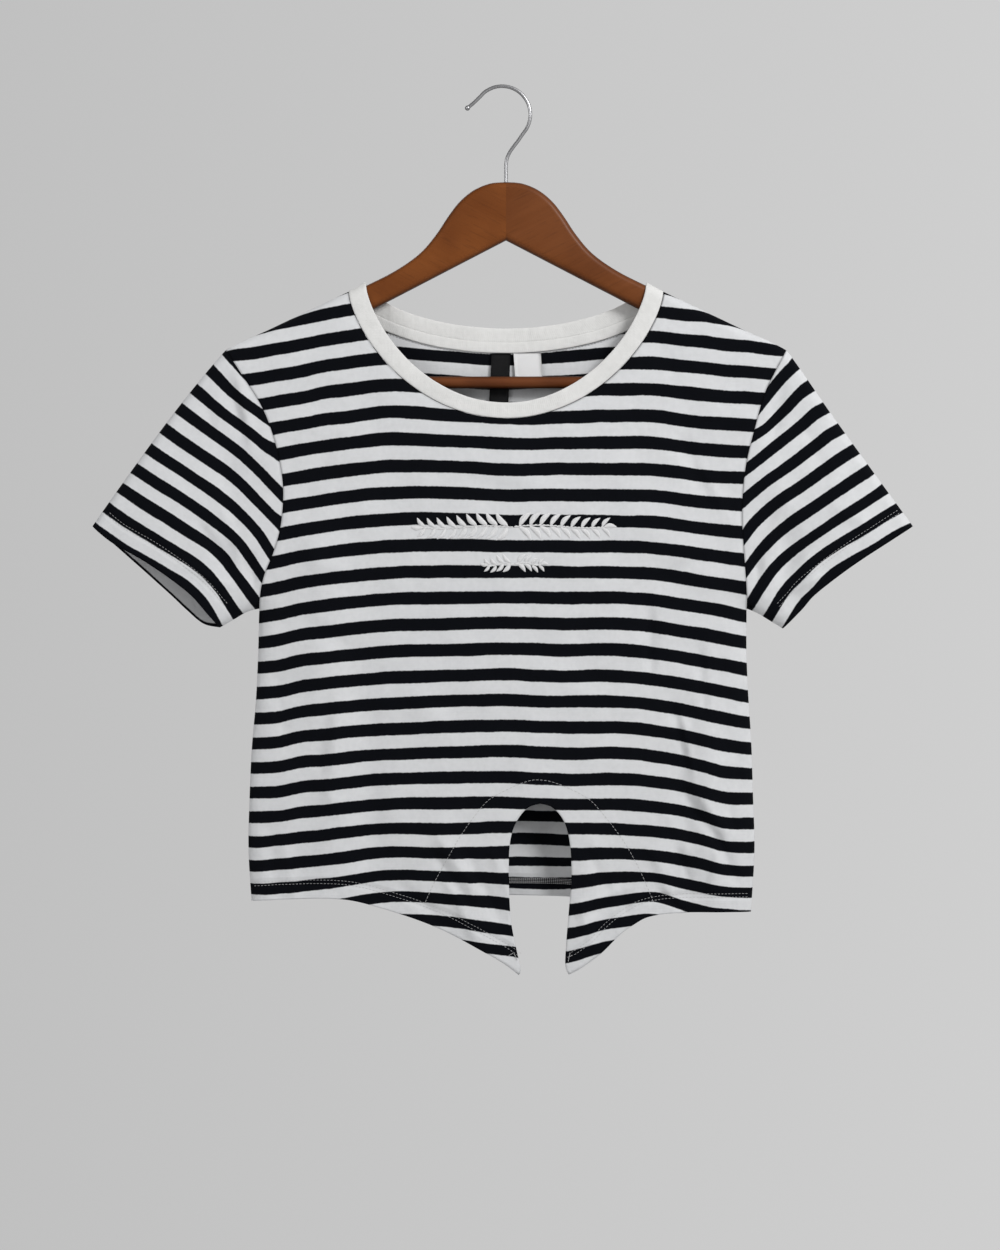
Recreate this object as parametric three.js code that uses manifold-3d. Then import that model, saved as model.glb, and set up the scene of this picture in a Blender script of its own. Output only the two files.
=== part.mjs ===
// A short-sleeved crop top in striped cotton jersey, with a white neckband and a notch in the front hem
// that leaves two ends to tie. It hangs on a wooden hanger with a trouser bar and a wire hook.
// Millimetres, +Z up, and the front faces -Y. The origin is the top of the inside of the hook, where a rail
// bears on it. Left and right are the viewer's, -X and +X.
import * as THREE from "three";
import { mergeVertices } from "three/addons/utils/BufferGeometryUtils.js";
import Module from "manifold-3d";

const wasm = await Module();
wasm.setup();

// Sizes that drive the whole part
const MIDDLE = 3.2; // x of the middle of the neck and of the hanger
const SHOULDER_SLOPE = 0.477; // fall of the shoulder line for each millimetre outwards
const WALL = 1.2; // jersey
const BAND_WALL = 1.8; // the neckband is doubled cloth
const SEAM_GAP = 0.3; // between two pieces where they are sewn together
const EDGE_DEPTH = 8.2; // from the middle plane to the outside of the cloth, beside the hanger

// Outlines of the cloth seen from the front, each point an x and a z
const ARMHOLE_LEFT = [
  [-220.8, -209.8], [-208, -229], [-192, -254.5], [-181.6, -281], [-175.5, -309],
  [-174.4, -330], [-176.8, -353], [-182.4, -372.5], [-190.4, -393], [-194, -416.5],
];
const ARMHOLE_RIGHT = [
  [227.2, -209.8], [218.4, -226], [209, -246], [201, -274], [195, -298.5],
  [192, -321], [191.2, -345], [192.8, -373], [194.8, -400], [195.6, -416.5],
];
const SIDE_LEFT = [[-195, -450], [-196.8, -489], [-200.2, -529], [-202, -569], [-202.8, -609], [-200.4, -650]];
const SIDE_RIGHT = [[195.6, -450], [197, -485], [199.4, -523], [200.8, -565], [202, -610], [199.2, -658.6]];
const SLEEVE_TOP_LEFT = [[-262, -259.6], [-304, -317], [-327.5, -350.5]];
const SLEEVE_TOP_RIGHT = [[262, -259], [299, -310], [328.6, -350.5]];
const SLEEVE_UNDER_LEFT = [[-225.6, -431.6], [-213.2, -424.4], [-203.2, -418.8]];
const SLEEVE_UNDER_RIGHT = [[224.6, -432.4], [214, -426], [204, -420]];
const CUFF_LEFT_FRONT = [[-311, -363.6], [-281, -379], [-250, -400.4], [-234, -420]];
const CUFF_LEFT_BACK = [[-303, -370.3], [-272.6, -394.8], [-252, -411], [-237, -427]];
const CUFF_RIGHT_FRONT = [[310.3, -361.7], [287.8, -376], [269.4, -390.2], [251, -406.6], [238, -424]];
const CUFF_RIGHT_BACK = [[306, -360.5], [280, -376], [256, -395.5], [240, -412]];
const HEM_FRONT_LEFT = [[-167, -648], [-127, -648], [-95, -655.6], [-53, -670], [-7, -694]];
const HEM_FRONT_RIGHT = [[147, -658.6], [119, -661.5], [104.6, -668.4], [93, -677.2], [79, -691], [64, -702]];
const HEM_BACK = [[-100, -647], [0, -646], [100, -650]];
const NOTCH_TOP = [30.4, -571.6];
const NOTCH_LEFT = [
  [22, -574], [15, -580.5], [9, -591.6], [6, -606], [5.4, -632], [7, -664], [11.5, -688], [15, -704],
];
const NOTCH_RIGHT = [
  [39, -574], [46, -580.5], [50.8, -589.5], [54, -604], [55.2, -628], [53, -659], [51, -684], [50.4, -701],
];
const TAIL_TIP_LEFT = [13.4, -708.4];
const TAIL_TIP_RIGHT = [53.2, -708];

// The four necklines: half the width at the shoulder line, and the z of the lowest point
const NECK_INNER_HALF = 112;
const NECK_SEAM_HALF = 126;
const NECK_INNER_TOP = -156.4;
const NECKLINES = {
  frontSeam: { half: NECK_SEAM_HALF, bottom: -265.2 },
  frontInner: { half: NECK_INNER_HALF, bottom: -252.4 },
  backSeam: { half: NECK_SEAM_HALF, bottom: -203.8 },
  backInner: { half: NECK_INNER_HALF, bottom: -191.3 },
};
const NECK_POWER = 4 / 3; // above 1 draws the sides of the scoop straighter than an ellipse

// Folded edges: how far in from the silhouette the cloth takes to reach its full depth
const SHOULDER_REACH = EDGE_DEPTH;
const SIDE_REACH = 16;
const PAST_THE_END = 16; // how far a fold line runs on past the end of its cloth

// Soft swellings of the cloth: centre, half widths and height, front and back
const SWELLS = [
  { side: -1, x: 4, z: -400, wide: 150, tall: 190, high: 7 },
  { side: -1, x: 10, z: -600, wide: 150, tall: 120, high: 5 },
  { side: 1, x: 0, z: -430, wide: 160, tall: 230, high: 5 },
  { side: -1, x: -262, z: -345, wide: 50, tall: 60, high: 4 },
  { side: -1, x: 264, z: -345, wide: 50, tall: 60, high: 4 },
  { side: 1, x: -262, z: -345, wide: 50, tall: 60, high: 2.5 },
  { side: 1, x: 264, z: -345, wide: 50, tall: 60, high: 2.5 },
];
// The largest folds, each a soft ridge (high above 0) or trough from one point to another
const FOLDS = [
  { side: -1, x1: -150, z1: -300, x2: -132, z2: -640, wide: 17, high: 3.4 },
  { side: -1, x1: -112, z1: -420, x2: -100, z2: -640, wide: 12, high: -2.2 },
  { side: -1, x1: 158, z1: -440, x2: 172, z2: -650, wide: 12, high: 3.6 },
  { side: -1, x1: 140, z1: -500, x2: 147, z2: -655, wide: 10, high: -2.6 },
  { side: -1, x1: 100, z1: -330, x2: 172, z2: -400, wide: 14, high: 2 },
  { side: -1, x1: -176, z1: -400, x2: -100, z2: -360, wide: 13, high: 2 },
  { side: -1, x1: -60, z1: -560, x2: -8, z2: -700, wide: 14, high: 2.6 },
  { side: -1, x1: 74, z1: -560, x2: 62, z2: -700, wide: 11, high: 2.8 },
  { side: -1, x1: -222, z1: -250, x2: -216, z2: -410, wide: 11, high: -2.4 },
  { side: -1, x1: 224, z1: -330, x2: 232, z2: -420, wide: 11, high: -2.8 },
  { side: 1, x1: -120, z1: -260, x2: -142, z2: -645, wide: 18, high: 3.6 },
  { side: 1, x1: -58, z1: -400, x2: -66, z2: -645, wide: 14, high: -2.4 },
  { side: 1, x1: 96, z1: -280, x2: 128, z2: -650, wide: 18, high: 3.8 },
  { side: 1, x1: 34, z1: -420, x2: 40, z2: -646, wide: 15, high: 2.6 },
  { side: 1, x1: 170, z1: -430, x2: 168, z2: -652, wide: 10, high: -2.2 },
];
const FOLD_KEEP_OFF = 34; // no swelling or fold reaches full height nearer a folded edge than this

// Steps along each stretch of the grids
const STEPS = { fold: 4, neck: 6, chest: 5, waist: 7, hem: 9, across: 8, sleeve: 6, band: 3 };

// Hanger
const HANGER_HALF = 6;
const HANGER_REST = 0.5; // between the cloth and the top of the wood
const EDGE_ROUND = 5; // of the wood's long edges
const ARM_END = 213; // from the middle to the end of an arm
const SOCKET_BLOCK = 21; // width of the wood at an arm's end, where the bar goes in
const BAR_Z = -235.6;
const BAR_RADIUS = 4.8;
const BAR_LENGTH = 412;
const WIRE_RADIUS = 1.6;
const HOOK_INSIDE = 21.2;
const SHANK_IN_WOOD = 16;
const WOOD_TOP = -75.4;

// Labels on the inside of the back, below the neck tape
const LABEL_WALL = 1;
const TAPE_WALL = 1;
const TAPE_WIDTH = 7.6;
const BRAND_LABEL = { x: -7.2, wide: 13.8, top: -212.2, tall: 50 };
const CARE_LABEL = { x: 10.2, wide: 21.6, top: -211.8, tall: 22.4 };

// A smooth line through the points, as a close row of points with the length run so far at each
function path(points) {
  const SPAN = 16;
  const dense = [];
  for (let i = 0; i < points.length - 1; i++) {
    const p = [points[Math.max(i - 1, 0)], points[i], points[i + 1], points[Math.min(i + 2, points.length - 1)]];
    for (let k = 0; k < SPAN; k++) dense.push(catmullRom(p, k / SPAN));
  }
  dense.push(points[points.length - 1]);
  return measured(dense);
}

function catmullRom([a, b, c, d], t) {
  return [0, 1].map(
    (i) =>
      0.5 *
      (2 * b[i] + (c[i] - a[i]) * t + (2 * a[i] - 5 * b[i] + 4 * c[i] - d[i]) * t * t +
        (3 * b[i] - a[i] - 3 * c[i] + d[i]) * t * t * t),
  );
}

function measured(points) {
  const run = [0];
  for (let i = 1; i < points.length; i++)
    run.push(run[i - 1] + Math.hypot(points[i][0] - points[i - 1][0], points[i][1] - points[i - 1][1]));
  return { points, run, length: run[run.length - 1] };
}

// The point a given length along a line
function along({ points, run, length }, s) {
  const target = Math.min(Math.max(s, 0), length);
  let i = 1;
  while (i < run.length - 1 && run[i] < target) i++;
  const t = (target - run[i - 1]) / (run[i] - run[i - 1] || 1);
  return mix(points[i - 1], points[i], t);
}

function mix(a, b, t) {
  return a.map((v, i) => v + (b[i] - v) * t);
}

// The part of a line from one height to a lower one, for a line that only falls
function between(line, zHigh, zLow) {
  const at = (z) => {
    const i = line.points.findIndex((p) => p[1] <= z);
    if (i <= 0) return i === 0 ? 0 : line.length;
    const [a, b] = [line.points[i - 1], line.points[i]];
    return line.run[i - 1] + ((a[1] - z) / (a[1] - b[1])) * (line.run[i] - line.run[i - 1]);
  };
  return [at(zHigh), at(zLow)];
}

function smooth(t) {
  const c = Math.min(Math.max(t, 0), 1);
  return c * c * (3 - 2 * c);
}

// The z of the shoulder line, dx outwards from the middle
function shoulderZ(dx) {
  return NECK_INNER_TOP - SHOULDER_SLOPE * (dx - NECK_INNER_HALF);
}

// Half a neckline, from the shoulder line (hand -1 for the left) to the lowest point
function halfNeckline({ half, bottom }, hand) {
  const TURN_STEPS = 64;
  const top = shoulderZ(half);
  const points = [];
  for (let i = 0; i <= TURN_STEPS; i++) {
    const turn = ((Math.PI / 2) * i) / TURN_STEPS;
    points.push([MIDDLE + hand * half * Math.cos(turn), top - (top - bottom) * Math.sin(turn) ** NECK_POWER]);
  }
  return measured(points);
}

// The silhouette's folded edges, with the direction that points into the cloth at each point
function foldLine(points, reach, inwards) {
  const first = extend(points[1], points[0]);
  const last = extend(points[points.length - 2], points[points.length - 1]);
  const line = path([first, ...points, last]);
  const normals = line.points.map((p, i) => {
    const a = line.points[Math.max(i - 1, 0)];
    const b = line.points[Math.min(i + 1, line.points.length - 1)];
    const size = Math.hypot(b[0] - a[0], b[1] - a[1]);
    return [(inwards * (b[1] - a[1])) / size, (-inwards * (b[0] - a[0])) / size];
  });
  return { points: line.points, normals, reach };
}

function extend(from, to) {
  const size = Math.hypot(to[0] - from[0], to[1] - from[1]);
  return mix(from, to, 1 + PAST_THE_END / size);
}

const shoulder = (hand) =>
  [NECK_INNER_HALF, 150, 190].map((dx) => [MIDDLE + hand * dx, shoulderZ(dx)]);
const FOLD_LINES = [
  foldLine([...shoulder(-1), ARMHOLE_LEFT[0], ...SLEEVE_TOP_LEFT], SHOULDER_REACH, -1),
  foldLine([...shoulder(1), ARMHOLE_RIGHT[0], ...SLEEVE_TOP_RIGHT], SHOULDER_REACH, 1),
  foldLine([...SLEEVE_UNDER_LEFT, ARMHOLE_LEFT.at(-1), ...SIDE_LEFT], SIDE_REACH, -1),
  foldLine([...SLEEVE_UNDER_RIGHT, ARMHOLE_RIGHT.at(-1), ...SIDE_RIGHT], SIDE_REACH, 1),
];

// How far a point is from a folded edge, and the way into the cloth from there
function fromFold({ points, normals }, x, z) {
  let best = { distance: Infinity };
  for (let i = 1; i < points.length; i++) {
    const [a, b] = [points[i - 1], points[i]];
    const run = [b[0] - a[0], b[1] - a[1]];
    const t = ((x - a[0]) * run[0] + (z - a[1]) * run[1]) / (run[0] ** 2 + run[1] ** 2 || 1);
    const near = mix(a, b, Math.min(Math.max(t, 0), 1));
    const distance = Math.hypot(x - near[0], z - near[1]);
    if (distance < best.distance) best = { distance, near, i, t: Math.min(Math.max(t, 0), 1) };
  }
  const { distance, near, i, t } = best;
  const ON_THE_EDGE = 0.3;
  const inwards =
    distance > ON_THE_EDGE
      ? [(x - near[0]) / distance, (z - near[1]) / distance]
      : mix(normals[i - 1], normals[i], t);
  return { distance, inwards };
}

// Swellings and folds, at a point on the front (side -1) or the back (side 1)
function relief(side, x, z) {
  let high = 0;
  for (const s of SWELLS)
    if (s.side === side) high += s.high * Math.exp(-(((x - s.x) / s.wide) ** 2) - ((z - s.z) / s.tall) ** 2);
  for (const f of FOLDS) {
    if (f.side !== side) continue;
    const [dx, dz] = [f.x2 - f.x1, f.z2 - f.z1];
    const t = ((x - f.x1) * dx + (z - f.z1) * dz) / (dx * dx + dz * dz);
    const off = Math.hypot(x - f.x1 - dx * t, z - f.z1 - dz * t);
    const fade = smooth(t / 0.35) * smooth((1.25 - t) / 0.4);
    high += f.high * fade * Math.exp(-((off / f.wide) ** 2));
  }
  return high;
}

// The point of the cloth over x and z on one side, and the direction that points out of it
function clothPoint(side, x, z, onEdge = false) {
  let edge = { depth: EDGE_DEPTH, slope: 0, inwards: [0, 0] };
  let nearest = Infinity;
  for (const line of FOLD_LINES) {
    const { distance, inwards } = fromFold(line, x, z);
    nearest = Math.min(nearest, distance);
    const t = Math.min(distance / line.reach, 1);
    const depth = EDGE_DEPTH * Math.sqrt(1 - (1 - t) ** 2);
    const STEEPEST = 400;
    const slope = Math.min((EDGE_DEPTH * EDGE_DEPTH * (1 - t)) / (line.reach * Math.max(depth, 1e-6)), STEEPEST);
    if (depth < edge.depth) edge = { depth, slope, inwards };
  }
  const keep = smooth(nearest / FOLD_KEEP_OFF);
  const STEP = 0.5;
  const rise = [
    (keep * (relief(side, x + STEP, z) - relief(side, x - STEP, z))) / (2 * STEP),
    (keep * (relief(side, x, z + STEP) - relief(side, x, z - STEP))) / (2 * STEP),
  ];
  const gradient = [0, 1].map((i) => edge.slope * edge.inwards[i] + rise[i]);
  const depth = onEdge ? 0 : edge.depth + keep * relief(side, x, z) + SEAM_GAP / 2;
  const out = new THREE.Vector3(-gradient[0], side, -gradient[1]);
  if (onEdge) out.y = 0;
  return { at: new THREE.Vector3(x, side * depth, z), out: out.normalize() };
}

// Lengths along a line, close together over a folded edge at its start, and even after it
function foldedSteps(length, reach, foldSteps, evenSteps) {
  const steps = [];
  for (let i = 0; i <= foldSteps; i++) steps.push(reach * (1 - Math.cos((Math.PI / 2) * (i / foldSteps))));
  for (let i = 1; i <= evenSteps; i++) steps.push(reach + ((length - reach) * i) / evenSteps);
  return steps;
}

function evenSteps(from, to, count) {
  return Array.from({ length: count + 1 }, (_, i) => from + ((to - from) * i) / count);
}

// Heights where the rows of a panel meet the armhole and side: below the neck, at the armpit, at the notch
const ROW_BELOW_NECK = -284;
const ROW_AT_NOTCH = -586;

// The lengths along a panel's outer edge where its rows start, in four stretches
function outerRows(edge, armpitZ) {
  const [, neck] = between(edge, 0, ROW_BELOW_NECK);
  const [, armpit] = between(edge, 0, armpitZ);
  const [, notch] = between(edge, 0, ROW_AT_NOTCH);
  const chest = foldedSteps(armpit - neck, SIDE_REACH, STEPS.fold, STEPS.chest);
  return {
    neck: foldedSteps(neck, SHOULDER_REACH, STEPS.fold, STEPS.neck),
    chest: chest.map((s) => armpit - s).reverse(),
    waist: evenSteps(armpit, notch, STEPS.waist),
    hem: evenSteps(notch, edge.length, STEPS.hem),
  };
}

// A side's armhole rows, which the sleeve shares
function armholeRows(hand) {
  const [armhole, side] = hand < 0 ? [ARMHOLE_LEFT, SIDE_LEFT] : [ARMHOLE_RIGHT, SIDE_RIGHT];
  const edge = path([...armhole, ...side]);
  const rows = outerRows(edge, armhole.at(-1)[1]);
  return { edge, rows, lengths: [...rows.neck, ...rows.chest.slice(1)] };
}

// One half of a front or back panel, as rows of points running in from its outer edge
function halfPanel(side, hand, neckline, inner, hem) {
  const { edge, rows } = armholeRows(hand);
  const neck = halfNeckline(neckline, hand);
  const bottom = neck.points.at(-1);
  const neckRows = foldedSteps(neck.length, SHOULDER_REACH, STEPS.fold, STEPS.neck);
  // Both halves cut the middle line at the left half's shares, so that they meet there
  const shared = armholeRows(-1).rows;
  const shareOf = (s) => (s - shared.chest[0]) / (shared.waist.at(-1) - shared.chest[0]);
  const chestShare = shared.chest.map(shareOf);
  const waistShare = shared.waist.map(shareOf);
  const pairs = [
    ...rows.neck.map((s, i) => [s, along(neck, neckRows[i]), 0]),
    ...chestShare.slice(1).map((t, i) => [rows.chest[i + 1], mix(bottom, inner.points[0], t), 0]),
    ...waistShare.slice(1).map((t, i) => [rows.waist[i + 1], mix(bottom, inner.points[0], t), 0]),
    ...rows.hem.slice(1).map((s, i) => {
      const t = (i + 1) / STEPS.hem;
      return [s, along(inner, inner.length * t), t ** 1.5];
    }),
  ];
  return pairs.map(([s, innerPoint, hemShare], row) => {
    const outer = along(edge, s);
    const width = Math.hypot(innerPoint[0] - outer[0], innerPoint[1] - outer[1]);
    const below = row >= rows.neck.length + rows.chest.length - 2;
    return foldedSteps(width, SIDE_REACH, STEPS.fold, STEPS.across).map((d, column) => {
      const share = d / width;
      const point = mix(outer, innerPoint, share);
      // The lower rows take on the shape of the hem
      const bend = offset(along(hem, hem.length * share), mix(hem.points[0], hem.points.at(-1), share));
      const [x, z] = [0, 1].map((i) => point[i] + hemShare * bend[i]);
      return clothPoint(side, x, z, row === 0 || (below && column === 0));
    });
  });
}

// A closed wall from one or more grids of cloth points, which join where they share points.
// It reaches proud outside the cloth's surface, and the rest of its thickness inside.
function wall(grids, thick, { closed = false, proud = 0 } = {}) {
  const points = [];
  const index = new Map();
  const number = ({ at, out }) => {
    const key = [at.x, at.y, at.z].map((v) => Math.round(v * 1e3)).join();
    if (!index.has(key)) {
      index.set(key, points.length);
      points.push({ at, out });
    }
    return index.get(key);
  };
  const faces = [];
  for (const { rows, flip } of grids) {
    const ids = rows.map((row) => row.map(number));
    const across = closed ? rows[0].length : rows[0].length - 1;
    for (let r = 0; r < ids.length - 1; r++)
      for (let c = 0; c < across; c++) {
        const next = (c + 1) % rows[0].length;
        const quad = [ids[r][c], ids[r + 1][c], ids[r + 1][next], ids[r][next]];
        faces.push(...triangles(flip ? quad.reverse() : quad));
      }
  }
  return solidFromFaces(points, faces.filter((f) => new Set(f).size === 3), thick, proud);
}

function triangles([a, b, c, d]) {
  return [[a, b, c], [a, c, d]];
}

function solidFromFaces(points, faces, thick, proud) {
  const count = points.length;
  const open = new Map();
  for (const [a, b, c] of faces)
    for (const [p, q] of [[a, b], [b, c], [c, a]])
      if (!open.delete(q + "," + p)) open.set(p + "," + q, [p, q]);
  const positions = [];
  for (const depth of [proud, proud - thick])
    for (const { at, out } of points) positions.push(...at.clone().addScaledVector(out, depth).toArray());
  const all = faces.flatMap(([a, b, c]) => [a, b, c, a + count, c + count, b + count]);
  for (const [p, q] of open.values()) all.push(q, p, p + count, q, p + count, q + count);
  const geometry = new THREE.BufferGeometry();
  geometry.setAttribute("position", new THREE.Float32BufferAttribute(positions, 3));
  geometry.setIndex(all);
  geometry.computeVertexNormals();
  return geometry;
}

// Front and back panels
function panel(side, necklineName, halves) {
  const grids = halves.map(({ hand, inner, hem }) => {
    const rows = halfPanel(side, hand, NECKLINES[necklineName], inner, hem);
    return { rows, flip: side * hand < 0 };
  });
  return wall(grids, WALL);
}

function frontPanel() {
  return panel(-1, "frontSeam", [
    {
      hand: -1,
      inner: path([NOTCH_TOP, ...NOTCH_LEFT, TAIL_TIP_LEFT]),
      hem: path([SIDE_LEFT.at(-1), ...HEM_FRONT_LEFT, TAIL_TIP_LEFT]),
    },
    {
      hand: 1,
      inner: path([NOTCH_TOP, ...NOTCH_RIGHT, TAIL_TIP_RIGHT]),
      hem: path([SIDE_RIGHT.at(-1), ...HEM_FRONT_RIGHT, TAIL_TIP_RIGHT]),
    },
  ]);
}

function backPanel() {
  const middle = HEM_BACK[1];
  const inner = path([[middle[0], ROW_AT_NOTCH + 8], middle]);
  return panel(1, "backSeam", [
    { hand: -1, inner, hem: path([SIDE_LEFT.at(-1), HEM_BACK[0], middle]) },
    { hand: 1, inner, hem: path([SIDE_RIGHT.at(-1), HEM_BACK[2], middle]) },
  ]);
}

// A sleeve is a flattened tube. Each ring runs down the front from the top fold to the fold under the arm,
// and up the back, and the rings go from the armhole to the cuff.
function sleeve(hand) {
  const left = hand < 0;
  const { edge, lengths } = armholeRows(hand);
  const top = path([left ? ARMHOLE_LEFT[0] : ARMHOLE_RIGHT[0], ...(left ? SLEEVE_TOP_LEFT : SLEEVE_TOP_RIGHT)]);
  const under = path([
    left ? ARMHOLE_LEFT.at(-1) : ARMHOLE_RIGHT.at(-1),
    ...(left ? SLEEVE_UNDER_LEFT : SLEEVE_UNDER_RIGHT).toReversed(),
  ]);
  const total = lengths.at(-1);
  const layer = (side, cuffPoints) => {
    const cuff = path([top.points.at(-1), ...cuffPoints, under.points.at(-1)]);
    return evenSteps(0, 1, STEPS.sleeve).map((t) =>
      lengths.map((s, k) => {
        const u = s / total;
        const start = along(edge, s);
        const end = along(cuff, cuffLength(cuff, s, total));
        const straight = mix(start, end, t);
        const topFix = offset(along(top, top.length * t), mix(top.points[0], top.points.at(-1), t));
        const underFix = offset(along(under, under.length * t), mix(under.points[0], under.points.at(-1), t));
        const gap = SEAM_GAP * (1 - t);
        const x = straight[0] + topFix[0] * (1 - u) + underFix[0] * u + hand * gap;
        const z = straight[1] + topFix[1] * (1 - u) + underFix[1] * u - gap * (1 - u);
        return clothPoint(side, x, z, k === 0 || k === lengths.length - 1);
      }),
    );
  };
  const front = layer(-1, left ? CUFF_LEFT_FRONT : CUFF_RIGHT_FRONT);
  const back = layer(1, left ? CUFF_LEFT_BACK : CUFF_RIGHT_BACK);
  const rows = front.map((row, i) => [...row, ...back[i].slice(1, -1).reverse()]);
  return wall([{ rows, flip: !left }], WALL, { closed: true });
}

// The steps of the cuff keep the armhole's close spacing over both folds
function cuffLength(cuff, s, total) {
  const scale = (cuff.length - SHOULDER_REACH - SIDE_REACH) / (total - SHOULDER_REACH - SIDE_REACH);
  if (s < SHOULDER_REACH) return s;
  if (s > total - SIDE_REACH) return cuff.length - (total - s);
  return SHOULDER_REACH + (s - SHOULDER_REACH) * scale;
}

function offset(to, from) {
  return [to[0] - from[0], to[1] - from[1]];
}

// The neckband is one ring, front and back, from just inside the neck seam to its folded inner edge
function neckband() {
  const half = (side, hand, seamName, innerName) => {
    const seam = halfNeckline(NECKLINES[seamName], hand);
    const inner = halfNeckline(NECKLINES[innerName], hand);
    const [a, b] = [seam, inner].map((line) =>
      foldedSteps(line.length, SHOULDER_REACH, STEPS.fold, STEPS.neck).map((s) => along(line, s)),
    );
    const gapShare = SEAM_GAP / (NECK_SEAM_HALF - NECK_INNER_HALF);
    return a.map((point, k) =>
      evenSteps(gapShare, 1, STEPS.band).map((t) => {
        const [x, z] = mix(point, b[k], t);
        return clothPoint(side, x, z, k === 0);
      }),
    );
  };
  const frontLeft = half(-1, -1, "frontSeam", "frontInner");
  const frontRight = half(-1, 1, "frontSeam", "frontInner");
  const backLeft = half(1, -1, "backSeam", "backInner");
  const backRight = half(1, 1, "backSeam", "backInner");
  const ring = [
    ...frontLeft,
    ...frontRight.toReversed().slice(1),
    ...backRight.slice(1),
    ...backLeft.toReversed().slice(1, -1),
  ];
  const rows = evenSteps(0, STEPS.band, STEPS.band).map((i) => ring.map((row) => row[i]));
  return wall([{ rows, flip: true }], BAND_WALL, { closed: true, proud: BAND_WALL - WALL - 0.1 });
}

// The tape that covers the back neck seam inside, from shoulder to shoulder
function neckTape() {
  const TAPE_END = 22; // clear of the hanger's arms
  const line = (hand) => {
    const seam = halfNeckline(NECKLINES.backSeam, hand);
    return evenSteps(TAPE_END, seam.length, 2 * STEPS.neck).map((s) => {
      const here = along(seam, s);
      const ahead = along(seam, s + 1);
      const behind = along(seam, s - 1);
      const run = [ahead[0] - behind[0], ahead[1] - behind[1]];
      const size = Math.hypot(...run);
      const down = [(hand * run[1]) / size, (-hand * run[0]) / size];
      return [0, TAPE_WIDTH].map((w) => clothPoint(1, here[0] - down[0] * w, here[1] - down[1] * w));
    });
  };
  const rows = [...line(-1), ...line(1).toReversed().slice(1)];
  const flat = [0, 1].map((i) => rows.map((row) => row[i]));
  return wall([{ rows: flat, flip: true }], TAPE_WALL, { proud: -WALL - SEAM_GAP });
}

// A label hangs flat against the inside of the back
function label({ x, wide, top, tall }) {
  const COLUMNS = 1;
  const ROWS = 3;
  const rows = evenSteps(top, top - tall, ROWS).map((z) =>
    evenSteps(x, x + wide, COLUMNS).map((across) => clothPoint(1, across, z)),
  );
  return wall([{ rows, flip: true }], LABEL_WALL, { proud: -WALL - SEAM_GAP });
}

// Turns a geometry into a solid for joining and cutting, and back
function toSolid(geometry) {
  const bare = new THREE.BufferGeometry().setAttribute("position", geometry.getAttribute("position"));
  if (geometry.index) bare.setIndex(geometry.index);
  const merged = mergeVertices(bare, 1e-4);
  const mesh = new wasm.Mesh({
    numProp: 3,
    vertProperties: merged.attributes.position.array,
    triVerts: new Uint32Array(merged.index.array),
  });
  return new wasm.Manifold(mesh);
}

function toGeometry(solid) {
  const mesh = solid.getMesh();
  const geometry = new THREE.BufferGeometry();
  geometry.setAttribute("position", new THREE.BufferAttribute(mesh.vertProperties, 3));
  geometry.setIndex(new THREE.BufferAttribute(mesh.triVerts, 1));
  geometry.computeVertexNormals();
  return geometry;
}

// The wood's outline: a rounded hump, then straight arms that widen at the ends to hold the bar
function hangerWood() {
  const REST_DROP = (WALL + HANGER_REST) * Math.hypot(1, SHOULDER_SLOPE);
  const armTop = (dx) => shoulderZ(dx) - REST_DROP;
  const UPPER = [
    [0, WOOD_TOP], [13, -76.6], [26, -82], [37, -91], [46, -102.5], [56, -117.5], [69, -132.5], [88, -146],
    [NECK_INNER_HALF, armTop(NECK_INNER_HALF)], [150, armTop(150)],
  ];
  const END_BOTTOM = -246.5;
  const LOWER = [[ARM_END - SOCKET_BLOCK, END_BOTTOM], [ARM_END - SOCKET_BLOCK, -230], [166, -209], [106, -177]];
  const END_RADIUS = 6.5;
  const thin = (points) => path(points).points.filter((_, i) => i % 8 === 0);
  const corners = [
    ...thin(UPPER), [ARM_END, armTop(ARM_END)], [ARM_END, END_BOTTOM], ...LOWER, [0, -122],
  ];
  const half = roundCorners(corners, END_RADIUS);
  const outline = [
    ...half.map(([dx, z]) => [MIDDLE + dx, z]),
    ...half.slice(1, -1).map(([dx, z]) => [MIDDLE - dx, z]).reverse(),
  ];
  const shape = new THREE.Shape(outline.map(([x, z]) => new THREE.Vector2(x, z)));
  const board = new THREE.ExtrudeGeometry(shape, {
    depth: 2 * (HANGER_HALF - EDGE_ROUND),
    bevelThickness: EDGE_ROUND,
    bevelSize: EDGE_ROUND,
    bevelOffset: -EDGE_ROUND,
    bevelSegments: 3,
    curveSegments: 1,
  });
  // The shape was drawn in x and z, so the board is turned to stand up
  board.translate(0, 0, EDGE_ROUND - HANGER_HALF).rotateX(Math.PI / 2);
  const SIDES = 16;
  const CLEAR = 0.3;
  const bore = new THREE.CylinderGeometry(BAR_RADIUS + CLEAR, BAR_RADIUS + CLEAR, BAR_LENGTH + 2 * CLEAR, SIDES);
  bore.rotateZ(Math.PI / 2).translate(MIDDLE, 0, BAR_Z);
  const shank = new THREE.CylinderGeometry(WIRE_RADIUS + CLEAR, WIRE_RADIUS + CLEAR, 2 * (SHANK_IN_WOOD + CLEAR), SIDES);
  shank.rotateX(Math.PI / 2).translate(MIDDLE, 0, WOOD_TOP);
  return toGeometry(toSolid(board).subtract(toSolid(bore)).subtract(toSolid(shank)));
}

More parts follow.
